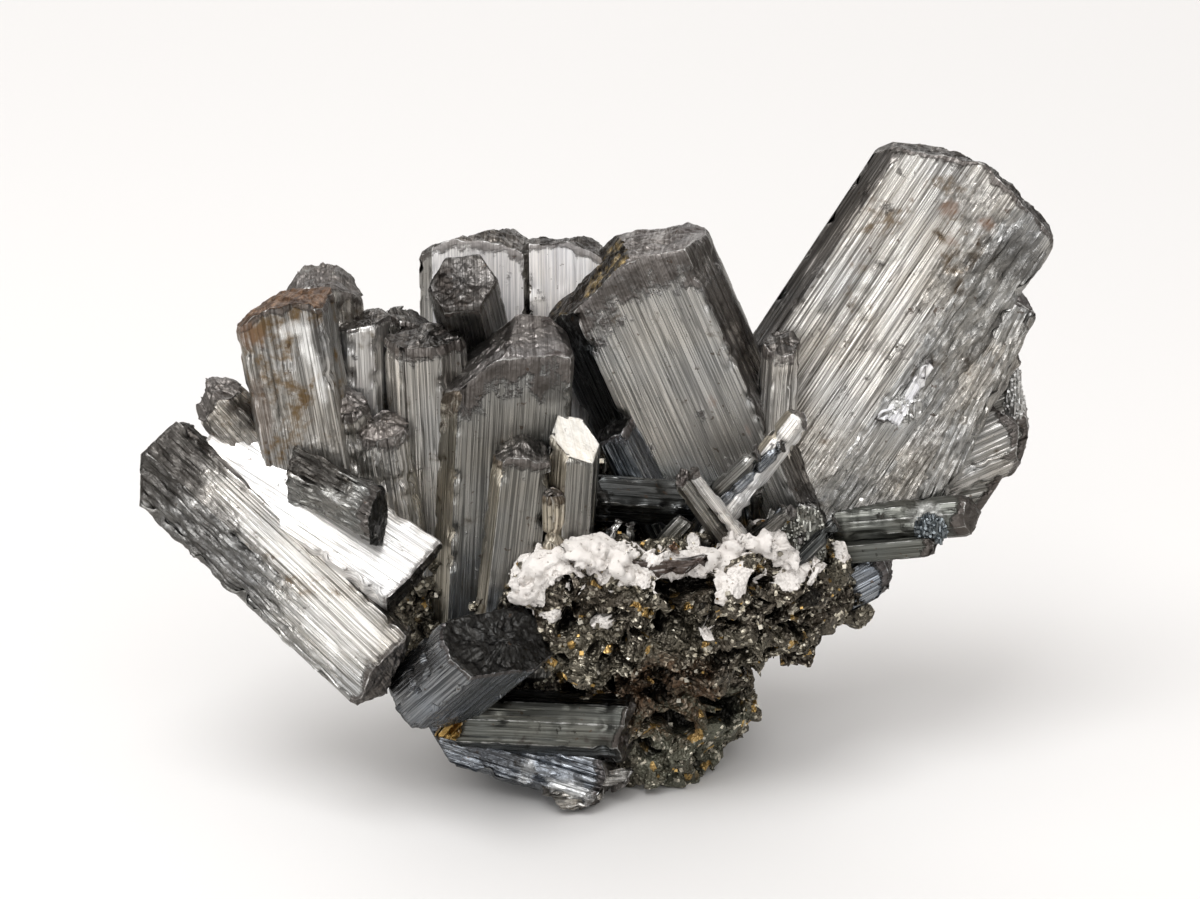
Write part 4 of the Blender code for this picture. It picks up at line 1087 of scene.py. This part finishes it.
def sulphide(groups, sizes):
    """The matrix: brown-black grains, some brassy, some silvery, with rusty films, a greenish foot and
    painted shade in its cavities.
    """
    material, wiring, shader, place = material_wiring("granular sulphide")
    grains = wiring.group(groups["grains"], {"Place": place, "Scale": 900.0})
    finer = wiring.group(groups["grains"], {"Place": place, "Scale": 2300.0})
    film = wiring.group(groups["film"], {"Place": place, "Amount": 0.5})
    rusty = {"Place": place, "Centre": Vector(RUSTY_HOLLOW) * MM, "Reach": RUSTY_REACH * MM}
    rusty = wiring.group(groups["region"], rusty)
    green = {"Place": place, "Centre": Vector(GREEN_FOOT) * MM, "Reach": GREEN_REACH * MM}
    green = wiring.group(groups["region"], green)
    tone = wiring.blend(finer["Pick"], BLACK_GRAIN, GREY_GRAIN)
    tone = wiring.blend(wiring.step(grains["Pick"], 0.3, 0.8), tone, BROWN_GRAIN)
    swells = wiring.step(wiring.noise(place, 95.0, 3.0, 0.6), 0.4, 0.62)
    tone = wiring.blend(wiring.times(swells, 0.6), tone, DRAB_GRAIN)
    tone = wiring.blend(wiring.times(green["Mask"], 0.75), tone, GREEN_GRAIN)
    tone = wiring.blend(wiring.step(grains["Pick"], 0.95, 0.97), tone, (*sizes.brass_colour, 1))
    tone = wiring.blend(wiring.step(finer["Pick"], 0.88, 0.91), tone, GLINT)
    tone = wiring.blend(wiring.times(film["Mask"], 0.5), tone, ROCK_FILM)
    rust = wiring.times(rusty["Mask"], wiring.times(finer["Pick"], 0.6))
    tone = wiring.blend(rust, tone, ROCK_RUST)
    # Painted shade in the cavities, darker the deeper they are
    tone = wiring.blend(wiring.times(wiring.value("cavity"), 0.93), tone, CAVITY_PAINTED_SHADE)
    coat = coat_mask(wiring, place)
    tone = wiring.blend(coat, tone, chalk_tone(wiring, place, groups, sizes))
    wiring.join(tone, shader.inputs["Base Color"])
    metal = wiring.between(green["Mask"], wiring.between(film["Mask"], 0.85, 0.45), 0.5)
    wiring.join(wiring.between(coat, metal, 0.0), shader.inputs["Metallic"])
    rough = wiring.between(coat, wiring.between(finer["Pick"], 0.16, 0.5), 0.9)
    wiring.join(rough, shader.inputs["Roughness"])
    height = wiring.plus(grains["Height"], wiring.times(finer["Height"], 0.5))
    wiring.join(wiring.bump(height, 1.0, GRAIN_BUMP), shader.inputs["Normal"])
    return material


def coat_mask(wiring, place):
    """Where the thin coat covers the rock, with a ragged margin."""
    ragged = wiring.times(wiring.minus(wiring.noise(place, 900.0, 5.0, 0.65), 0.5), 0.9)
    return wiring.step(wiring.plus(wiring.value("coat"), ragged), 0.42, 0.5)


def chalk_tone(wiring, place, groups, sizes):
    """The crust's white, mottled, with patches of dirty film and small dark specks."""
    film = wiring.group(groups["film"], {"Place": place, "Amount": 0.4})
    mottle = wiring.noise(place, 500.0, 5.0, 0.6)
    colour = wiring.blend(mottle, (*sizes.crust_colour, 1), CHALK_SHADE)
    colour = wiring.blend(wiring.times(film["Mask"], 0.45), colour, CHALK_FILM)
    pits = wiring.step(wiring.noise(place, 1500.0, 3.0, 0.6), 0.62, 0.68)
    return wiring.blend(wiring.times(pits, 0.7), colour, CHALK_PIT)


def chalky_crust(groups, sizes):
    """The white crust where it stands thick."""
    material, wiring, shader, place = material_wiring("chalky crust")
    wiring.join(chalk_tone(wiring, place, groups, sizes), shader.inputs["Base Color"])
    shader.inputs["Roughness"].default_value = 0.9
    height = wiring.plus(wiring.noise(place, 2200.0, 5.0, 0.7), wiring.noise(place, 700.0, 3.0, 0.5))
    wiring.join(wiring.bump(height, 0.8, CHALK_BUMP), shader.inputs["Normal"])
    return material


def glinting_grain(name, colour, roughness, groups):
    """A bright metallic grain with a little film."""
    material, wiring, shader, place = material_wiring(name)
    film = wiring.group(groups["film"], {"Place": place, "Amount": 0.4})
    tone = wiring.noise(place, 800.0, 2.0, 0.5)
    shade = wiring.blend(tone, (*[part * 0.5 for part in colour], 1), (*colour, 1))
    shade = wiring.blend(wiring.times(film["Mask"], 0.6), shade, GRAIN_FILM)
    wiring.join(shade, shader.inputs["Base Color"])
    shader.inputs["Metallic"].default_value = 1.0
    wiring.join(wiring.between(tone, roughness, roughness + 0.15), shader.inputs["Roughness"])
    return material


def all_groups():
    """The shared node groups, built once."""
    makers = {
        "lines": growth_line_group, "frosting": frosting_group, "film": film_group, "wear_and_highlight": wear_and_highlight_group,
        "grains": grain_group, "region": region_group,
    }
    if not GROUPS:
        for key, maker in makers.items():
            GROUPS[key] = maker()
    return GROUPS


def finish(name):
    """A crystal finish, built the first time it is asked for."""
    if name not in MATERIALS:
        MATERIALS[name] = stibnite(name, all_groups())
    return MATERIALS[name]


# ---------------------------------------------------------------- shapes

def finished(name, bm, node, materials):
    """A piece in metres from a bmesh in mm, in the place of a CAD node."""
    bmesh.ops.scale(bm, vec=(MM, MM, MM), verts=bm.verts)
    mesh = bpy.data.meshes.new(name)
    bm.to_mesh(mesh)
    bm.free()
    piece = bpy.data.objects.new(name, mesh)
    bpy.context.scene.collection.objects.link(piece)
    for material in materials:
        mesh.materials.append(material)
    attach(piece, BODY)
    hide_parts(node)
    return piece


def grow_piece(name, sizes):
    """One piece of the spray: its crystals, grown into one another."""
    node, pitch, crystals = SPRAY[name]
    return grow_together(name, node, crystals, pitch * sizes.coarseness)


def grow_together(name, node, crystals, pitch):
    """A piece made of crystals that stand in one another."""
    bm = bmesh.new()
    bm.loops.layers.uv.new("lay")
    for layer in LAYERS:
        bm.verts.layers.float.new(layer)
    slots = []
    for crystal in crystals:
        slots += [one for one in crystal.finishes() if one not in slots]
    for crystal in crystals:
        crystal.add_to(bm, slots, pitch)
    bmesh.ops.recalc_face_normals(bm, faces=bm.faces)
    return finished(name, bm, node, [finish(one) for one in slots])


def rugged_masses(masses, knob, relief):
    """Ellipsoids in mm with a knobbly skin, as one bmesh."""
    bm = bmesh.new()
    for centre, radii in masses:
        place = Matrix.Translation(centre) @ Matrix.Diagonal([*radii, 1])
        bmesh.ops.create_icosphere(bm, subdivisions=5, radius=1, matrix=place)
    for vert in bm.verts:
        coarse = noise.noise_vector(vert.co / knob)
        small = noise.noise_vector(vert.co * 2.1 / knob)
        vert.co += (coarse + small * 0.5) * relief
    return bm


def run_together(bm, voxel, hollows=()):
    """Masses that overlap, run together in one skin by a voxel remesh, with hollows cut from it. In mm."""
    objects = []
    cutters = [(rugged_masses([hollow], *MATRIX_SKIN), 1.0) for hollow in hollows]
    for source, size in [(bm, voxel)] + cutters:
        mesh = bpy.data.meshes.new("mass")
        source.to_mesh(mesh)
        source.free()
        obj = bpy.data.objects.new("mass", mesh)
        bpy.context.scene.collection.objects.link(obj)
        remesh = obj.modifiers.new("run together", "REMESH")
        remesh.mode = "VOXEL"
        remesh.voxel_size = size
        objects.append(obj)
    for cutter in objects[1:]:
        cut = objects[0].modifiers.new("hollow", "BOOLEAN")
        cut.operation = "DIFFERENCE"
        cut.object = cutter
    if len(objects) > 1:
        again = objects[0].modifiers.new("run together again", "REMESH")
        again.mode = "VOXEL"
        again.voxel_size = voxel
    seen = objects[0].evaluated_get(bpy.context.evaluated_depsgraph_get())
    made = bpy.data.meshes.new_from_object(seen)
    for obj in objects:
        bpy.data.objects.remove(obj)
    result = bmesh.new()
    result.from_mesh(made)
    bpy.data.meshes.remove(made)
    return result


def crust_share(point):
    """How thickly the crust coats the rock at a place: 0 to 1, ragged."""
    share = 0.0
    for centre, radii in CRUST_LUMPS:
        gone = Vector([(point[axis] - centre[axis]) / radii[axis] for axis in range(3)])
        share = max(share, 1.7 - gone.length)
    for centre, half_width, half_height in CRUST_PATCHES:
        radii = (half_width, PATCH_DEPTH, half_height)
        gone = Vector([(point[axis] - centre[axis]) / radii[axis] for axis in range(3)])
        share = max(share, 1.7 - gone.length)
    if share <= 0:
        return 0.0
    return smooth((share - 0.62 + 0.8 * turbulence(point, 1.7, 6, 4)) * 2.6)


def matrix_skin(sizes):
    """The matrix's skin in mm: folds, grains, cavities, a thin white coat and a flat face to rest on, with
    how deep each cavity is for its painted shade.
    """
    masses = rugged_masses(MATRIX_LUMPS, *MATRIX_SKIN)
    bm = run_together(masses, MATRIX_VOXEL * sizes.coarseness, MATRIX_HOLLOWS)
    bm.normal_update()
    cavity_shade_layer = bm.verts.layers.float.new("cavity")
    coat_layer = bm.verts.layers.float.new("coat")
    moves = []
    for vert in bm.verts:
        coat = crust_share(vert.co)
        move = Vector()
        for across, high in FOLD_SIZES:
            move += noise.noise_vector(vert.co / across) * high
        near, second = noise.voronoi(vert.co / GRAIN_SIZE)[0][:2]
        out = GRAIN_HEIGHT * min(second - near, 0.6) - GRAIN_HEIGHT / 2
        low = max(0.0, -CAVITY_START - turbulence(vert.co, CAVITY_SIZE, 2, 3))
        cavity = min(CAVITY_STEEPNESS * low, CAVITY_DEPTH) * (1 - coat)
        # How deep the cavity is, kept for the painted shade in it
        vert[cavity_shade_layer] = smooth(1.4 * cavity / CAVITY_DEPTH)
        vert[coat_layer] = coat
        out = out * (1 - 0.8 * coat) - cavity + COAT_THICKNESS * coat
        moves.append(move * (1 - 0.5 * coat) + vert.normal * out)
    for vert, move in zip(bm.verts, moves):
        vert.co += move
        vert.co.z = max(vert.co.z, REST_Z)
    for face in bm.faces:
        face.smooth = False
    return bm


def crust_skin(sizes):
    """The crust's skin in mm, where it is thick: a low, bumpy mass with hollows in it."""
    masses = [(centre, [radius * CRUST_SHRINK for radius in radii]) for centre, radii in CRUST_LUMPS]
    bm = run_together(rugged_masses(masses, *CRUST_SKIN), CRUST_VOXEL * sizes.coarseness)
    bm.normal_update()
    moves = []
    for vert in bm.verts:
        out = sum(high * turbulence(vert.co, across, seed, 2) for across, high, seed in CRUST_BUMPS)
        low = max(0.0, turbulence(vert.co, CRUST_HOLLOW, 8, 4) - CRUST_HOLLOW_START)
        out -= min(CRUST_HOLLOW_STEEPNESS * low, CRUST_HOLLOW_DEPTH)
        moves.append(vert.normal * out)
    for vert, move in zip(bm.verts, moves):
        vert.co += move
    for face in bm.faces:
        face.smooth = True
    return bm


def laths(skin, count, seed):
    """Small striated crystals that stand out of the matrix between the large ones."""
    picks = random.Random(seed)
    faces = [face for face in skin.faces if lath_grows_on(face.calc_center_median(), face.normal)]
    grown = []
    for _ in range(count):
        face = picks.choice(faces)
        spot = face.calc_center_median()
        lean = Vector([picks.uniform(-1, 1) for _ in range(3)])
        way = (face.normal + lean * 0.8 + Vector((spot.x * 0.02, 0, 0.7))).normalized()
        width = picks.uniform(*LATH_WIDTH)
        length = width * picks.uniform(*LATH_LENGTH)
        depth = width * picks.uniform(*LATH_DEPTH)
        shape = picks.choice((HEXAGON, SLAB, ROUND))
        top = ((picks.uniform(0, 360), picks.uniform(0, 35), 0),)
        grown.append(Crystal(
            spot - way * width, spot + way * length, width, depth, shape, (0.1, -1, 0.2), top=top,
            finish=picks.choice(LATH_FINISHES), end="char", coat=0.4, ledges=2, rough=0.5, fine=0.6,
        ))
    return grown


def lath_grows_on(spot, normal):
    """Whether a spot is on the matrix's top or back, not on the crust's ledge or by the front crystals."""
    left, front = LATH_FREE_CORNER
    if normal.z <= -0.3 or spot.y <= LATH_FRONT or (spot.x < left and spot.y < front):
        return False
    back, low = LATH_BACK
    return spot.z > LATH_TOP or (spot.y > back and spot.z > low)


def scatter(bm, skin, count, sizes_range, seed, shape):
    """Sets small faceted grains on a skin, half sunk, at random places and angles, clear of the ground."""
    picks = random.Random(seed)
    lowest = REST_Z + 2 * sizes_range[1]
    faces = [face for face in skin.faces if face.calc_center_median().z > lowest]
    for _ in range(count):
        face = picks.choice(faces)
        size = picks.uniform(*sizes_range)
        turn = Matrix.Rotation(picks.uniform(0, 6.3), 4, "X") @ Matrix.Rotation(picks.uniform(0, 6.3), 4, "Z")
        place = Matrix.Translation(face.calc_center_median() + face.normal * size * 0.1) @ turn
        shape(bm, place, size, picks)


def cube_grain(bm, place, size, picks):
    """A small cube, a little longer or shorter one way than another."""
    stretch = Matrix.Diagonal((size, size * picks.uniform(0.7, 1.1), size * picks.uniform(0.6, 1.2), 1))
    bmesh.ops.create_cube(bm, size=1, matrix=place @ stretch)


def prism_grain(bm, place, size, picks):
    """A short six-sided prism."""
    long = size * picks.uniform(1.2, 2.6)
    bmesh.ops.create_cone(
        bm, cap_ends=True, segments=6, radius1=size * 0.4, radius2=size * 0.34, depth=long, matrix=place
    )


def druse_lump(number, centre, radii, look, node):
    """A sugary lump: a rugged core with tiny prisms standing on it."""
    core = run_together(rugged_masses([(centre, radii)], *DRUSE_SKIN), DRUSE_VOXEL)
    core.normal_update()
    grains = bmesh.new()
    scatter(grains, core, round(DRUSE_GRAINS * sum(radii)), DRUSE_GRAIN, 20 + number, prism_grain)
    mesh = bpy.data.meshes.new("core")
    core.to_mesh(mesh)
    core.free()
    grains.from_mesh(mesh)
    bpy.data.meshes.remove(mesh)
    material = glinting_grain("druse " + look, DRUSE_COLOURS[look], 0.3, all_groups())
    return finished(f"druse_{number + 1}", grains, node, [material])


# ---------------------------------------------------------------- panel and operators

class SpraySizes(bpy.types.PropertyGroup):
    """Sizes and colours of the spray that a user would change."""

    coarseness: FloatProperty(
        name="Coarseness", description="Makes the crystals, matrix and crust coarser, for a quick look",
        default=1.0, min=0.8, max=4.0,
    )
    grain_count: IntProperty(
        name="Grains", description="Loose silvery grains on the matrix, with a third as many brassy ones",
        default=1100, min=0,
    )
    brass_colour: FloatVectorProperty(
        name="Brass", description="Brassy grains of the matrix", subtype="COLOR",
        default=(0.5, 0.33, 0.12), min=0, max=1,
    )
    crust_colour: FloatVectorProperty(
        name="Crust", description="White crust", subtype="COLOR", default=(0.8, 0.77, 0.745), min=0, max=1,
    )
    floor_colour: FloatVectorProperty(
        name="Floor", description="Pale floor", subtype="COLOR", default=(0.75, 0.744, 0.74), min=0, max=1,
    )


def grow_pieces(context, *names):
    """Grows some of the pieces of SPRAY, for an operator."""
    for name in names:
        grow_piece(name, context.scene.spray_sizes)
    return {"FINISHED"}


class SPRAY_OT_stage(bpy.types.Operator):
    """Sets the camera, the soft lights and the pale floor"""

    bl_idname = "spray.stage"
    bl_label = "Stage"

    def execute(self, context):
        set_camera(context)
        set_floor(context)
        set_lights(context)
        return {"FINISHED"}


class SPRAY_OT_right(bpy.types.Operator):
    """Grows the right blade, its bright break and the fan behind it"""

    bl_idname = "spray.right"
    bl_label = "Right crystals"

    def execute(self, context):
        return grow_pieces(context, "bright_fracture", "right_blade", "right_fan")


class SPRAY_OT_leaning(bpy.types.Operator):
    """Grows the leaning crystal and the dark ones beside it"""

    bl_idname = "spray.leaning"
    bl_label = "Leaning crystals"

    def execute(self, context):
        return grow_pieces(context, "leaning_prisms")


class SPRAY_OT_front(bpy.types.Operator):
    """Grows the tall front crystal and the small ones before it"""

    bl_idname = "spray.front"
    bl_label = "Front crystals"

    def execute(self, context):
        return grow_pieces(context, "front_prisms")


class SPRAY_OT_left(bpy.types.Operator):
    """Grows the bundle at the left"""

    bl_idname = "spray.left"
    bl_label = "Left bundle"

    def execute(self, context):
        return grow_pieces(context, "left_prisms")


class SPRAY_OT_back(bpy.types.Operator):
    """Grows the crystals at the back"""

    bl_idname = "spray.back"
    bl_label = "Back crystals"

    def execute(self, context):
        return grow_pieces(context, "back_prisms")


class SPRAY_OT_lying(bpy.types.Operator):
    """Grows the crystals that lie at the left"""

    bl_idname = "spray.lying"
    bl_label = "Lying crystals"

    def execute(self, context):
        return grow_pieces(context, "lying_prisms")


class SPRAY_OT_base(bpy.types.Operator):
    """Grows the dark stub and the crystals that the spray stands on"""

    bl_idname = "spray.base"
    bl_label = "Base crystals"

    def execute(self, context):
        return grow_pieces(context, "lower_dark_prism", "base_prisms")


class SPRAY_OT_needles(bpy.types.Operator):
    """Grows the small crystals above the crust"""

    bl_idname = "spray.needles"
    bl_label = "Needle crystals"

    def execute(self, context):
        return grow_pieces(context, "needle_prisms")


class SPRAY_OT_crust(bpy.types.Operator):
    """Makes the white crust and the flakes on it"""

    bl_idname = "spray.crust"
    bl_label = "White crust"

    def execute(self, context):
        sizes = context.scene.spray_sizes
        chalk = chalky_crust(all_groups(), sizes)
        finished("white_crust_skin", crust_skin(sizes), "white_crust", [chalk])
        return grow_pieces(context, "crust_flakes")


class SPRAY_OT_matrix(bpy.types.Operator):
    """Makes the granular matrix, its bright grains and the small crystals that stand in it"""

    bl_idname = "spray.matrix"
    bl_label = "Matrix"

    def execute(self, context):
        sizes = context.scene.spray_sizes
        groups = all_groups()
        skin = matrix_skin(sizes)
        standing = laths(skin, LATH_COUNT, 11)
        grow_together("intergrown_laths", "matrix", standing, LATH_PITCH * sizes.coarseness)
        grains = bmesh.new()
        scatter(grains, skin, sizes.grain_count // 3, BRASS_GRAIN, 3, cube_grain)
        brass = glinting_grain("brassy grains", sizes.brass_colour, 0.22, groups)
        finished("matrix_brassy_grains", grains, "matrix", [brass])
        shards = bmesh.new()
        scatter(shards, skin, sizes.grain_count, SILVER_GRAIN, 5, cube_grain)
        silver = glinting_grain("silvery grains", SILVER_GRAIN_COLOUR, 0.2, groups)
        finished("matrix_silvery_grains", shards, "matrix", [silver])
        finished("matrix_rock", skin, "matrix", [sulphide(groups, sizes)])
        return {"FINISHED"}


class SPRAY_OT_druse(bpy.types.Operator):
    """Makes the sugary lumps of tiny crystals"""

    bl_idname = "spray.druse"
    bl_label = "Druse"

    def execute(self, context):
        for number, lump in enumerate(DRUSE_LUMPS):
            druse_lump(number, *lump)
        return {"FINISHED"}


OPERATORS = (
    SPRAY_OT_stage, SPRAY_OT_right, SPRAY_OT_leaning, SPRAY_OT_front, SPRAY_OT_left, SPRAY_OT_back,
    SPRAY_OT_lying, SPRAY_OT_base, SPRAY_OT_needles, SPRAY_OT_crust, SPRAY_OT_matrix, SPRAY_OT_druse,
)


class SPRAY_PT_panel(bpy.types.Panel):
    """The pieces of the spray, and its sizes"""

    bl_label = "Stibnite"
    bl_idname = "SPRAY_PT_panel"
    bl_space_type = "VIEW_3D"
    bl_region_type = "UI"
    bl_category = "Stibnite"

    def draw(self, context):
        sizes = context.scene.spray_sizes
        for name in SpraySizes.__annotations__:
            self.layout.prop(sizes, name)
        for operator in OPERATORS:
            self.layout.operator(operator.bl_idname)


# ---------------------------------------------------------------- stage


def set_camera(context):
    """A long lens that looks a little down on the spray."""
    lift = math.radians(CAMERA_HEIGHT_DEGREES)
    camera = bpy.data.objects.new("camera", bpy.data.cameras.new("camera"))
    camera.data.lens = CAMERA_LENS
    camera.data.clip_start = CAMERA_NEAR * MM
    away = Vector((0, -math.cos(lift), math.sin(lift)))
    camera.location = (Vector(CAMERA_AIM) + away * CAMERA_DISTANCE) * MM
    camera.rotation_euler = (math.radians(90) - lift, 0, 0)
    context.scene.collection.objects.link(camera)
    context.scene.camera = camera


def set_floor(context):
    """A wide pale floor, which the metal mirrors a little darker than it looks."""
    bm = bmesh.new()
    bmesh.ops.create_grid(bm, x_segments=8, y_segments=8, size=FLOOR_REACH * MM)
    mesh = bpy.data.meshes.new("floor")
    bm.to_mesh(mesh)
    bm.free()
    floor = bpy.data.objects.new("floor", mesh)
    context.scene.collection.objects.link(floor)
    material, wiring, shader, place = material_wiring("pale floor")
    tone = wiring.noise(place, 2.0, 2.0, 0.5)
    colour = context.scene.spray_sizes.floor_colour
    darker = [part * 0.98 for part in colour]
    wiring.join(wiring.blend(tone, (*colour, 1), (*darker, 1)), shader.inputs["Base Color"])
    shader.inputs["Roughness"].default_value = 0.6
    in_metal = [part * share for part, share in zip(colour, FLOOR_IN_METAL)]
    shade = wiring.node("ShaderNodeBsdfDiffuse", {"Color": (*in_metal, 1)}).outputs[0]
    mirrored = wiring.node("ShaderNodeLightPath").outputs["Is Glossy Ray"]
    seen = wiring.node("ShaderNodeMixShader", {0: mirrored, 1: shader.outputs[0], 2: shade}).outputs[0]
    wiring.join(seen, material.node_tree.nodes["Material Output"].inputs["Surface"])
    mesh.materials.append(material)


def set_lights(context):
    """The softboxes, and a world that is darker near the horizon than overhead."""
    for name, (place, aim, (width, height), brightness) in LIGHTS.items():
        light = bpy.data.lights.new(name, "AREA")
        light.shape = "RECTANGLE"
        light.size = width * MM
        light.size_y = height * MM
        light.energy = brightness * math.pi * light.size * light.size_y
        lamp = bpy.data.objects.new(name, light)
        lamp.location = Vector(place) * MM
        lamp.rotation_euler = (Vector(aim) - Vector(place)).to_track_quat("-Z", "Y").to_euler()
        context.scene.collection.objects.link(lamp)
    world = bpy.data.worlds.new("studio")
    context.scene.world = world
    world.use_nodes = True
    wiring = Wiring(world.node_tree)
    direction = wiring.node("ShaderNodeTexCoord").outputs["Generated"]
    up = wiring.node("ShaderNodeSeparateXYZ", {0: direction}).outputs["Z"]
    colour = wiring.blend(wiring.step(up, 0.15, 0.8), HORIZON, ZENITH)
    world.node_tree.nodes["Background"].inputs["Strength"].default_value = 1.0
    wiring.join(colour, world.node_tree.nodes["Background"].inputs["Color"])
    context.scene.view_settings.view_transform = "Standard"


CLASSES = (SpraySizes, *OPERATORS, SPRAY_PT_panel)


def register():
    for one in CLASSES:
        bpy.utils.register_class(one)
    bpy.types.Scene.spray_sizes = PointerProperty(type=SpraySizes)


def unregister():
    del bpy.types.Scene.spray_sizes
    for one in reversed(CLASSES):
        bpy.utils.unregister_class(one)


def main():
    register()
    noise.seed_set(NOISE_SEED)
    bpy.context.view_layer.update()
    bpy.ops.spray.stage()
    bpy.ops.spray.right()
    bpy.ops.spray.leaning()
    bpy.ops.spray.front()
    bpy.ops.spray.left()
    bpy.ops.spray.back()
    bpy.ops.spray.lying()
    bpy.ops.spray.base()
    bpy.ops.spray.needles()
    bpy.ops.spray.crust()
    bpy.ops.spray.matrix()
    bpy.ops.spray.druse()


if __name__ == "__main__":
    main()
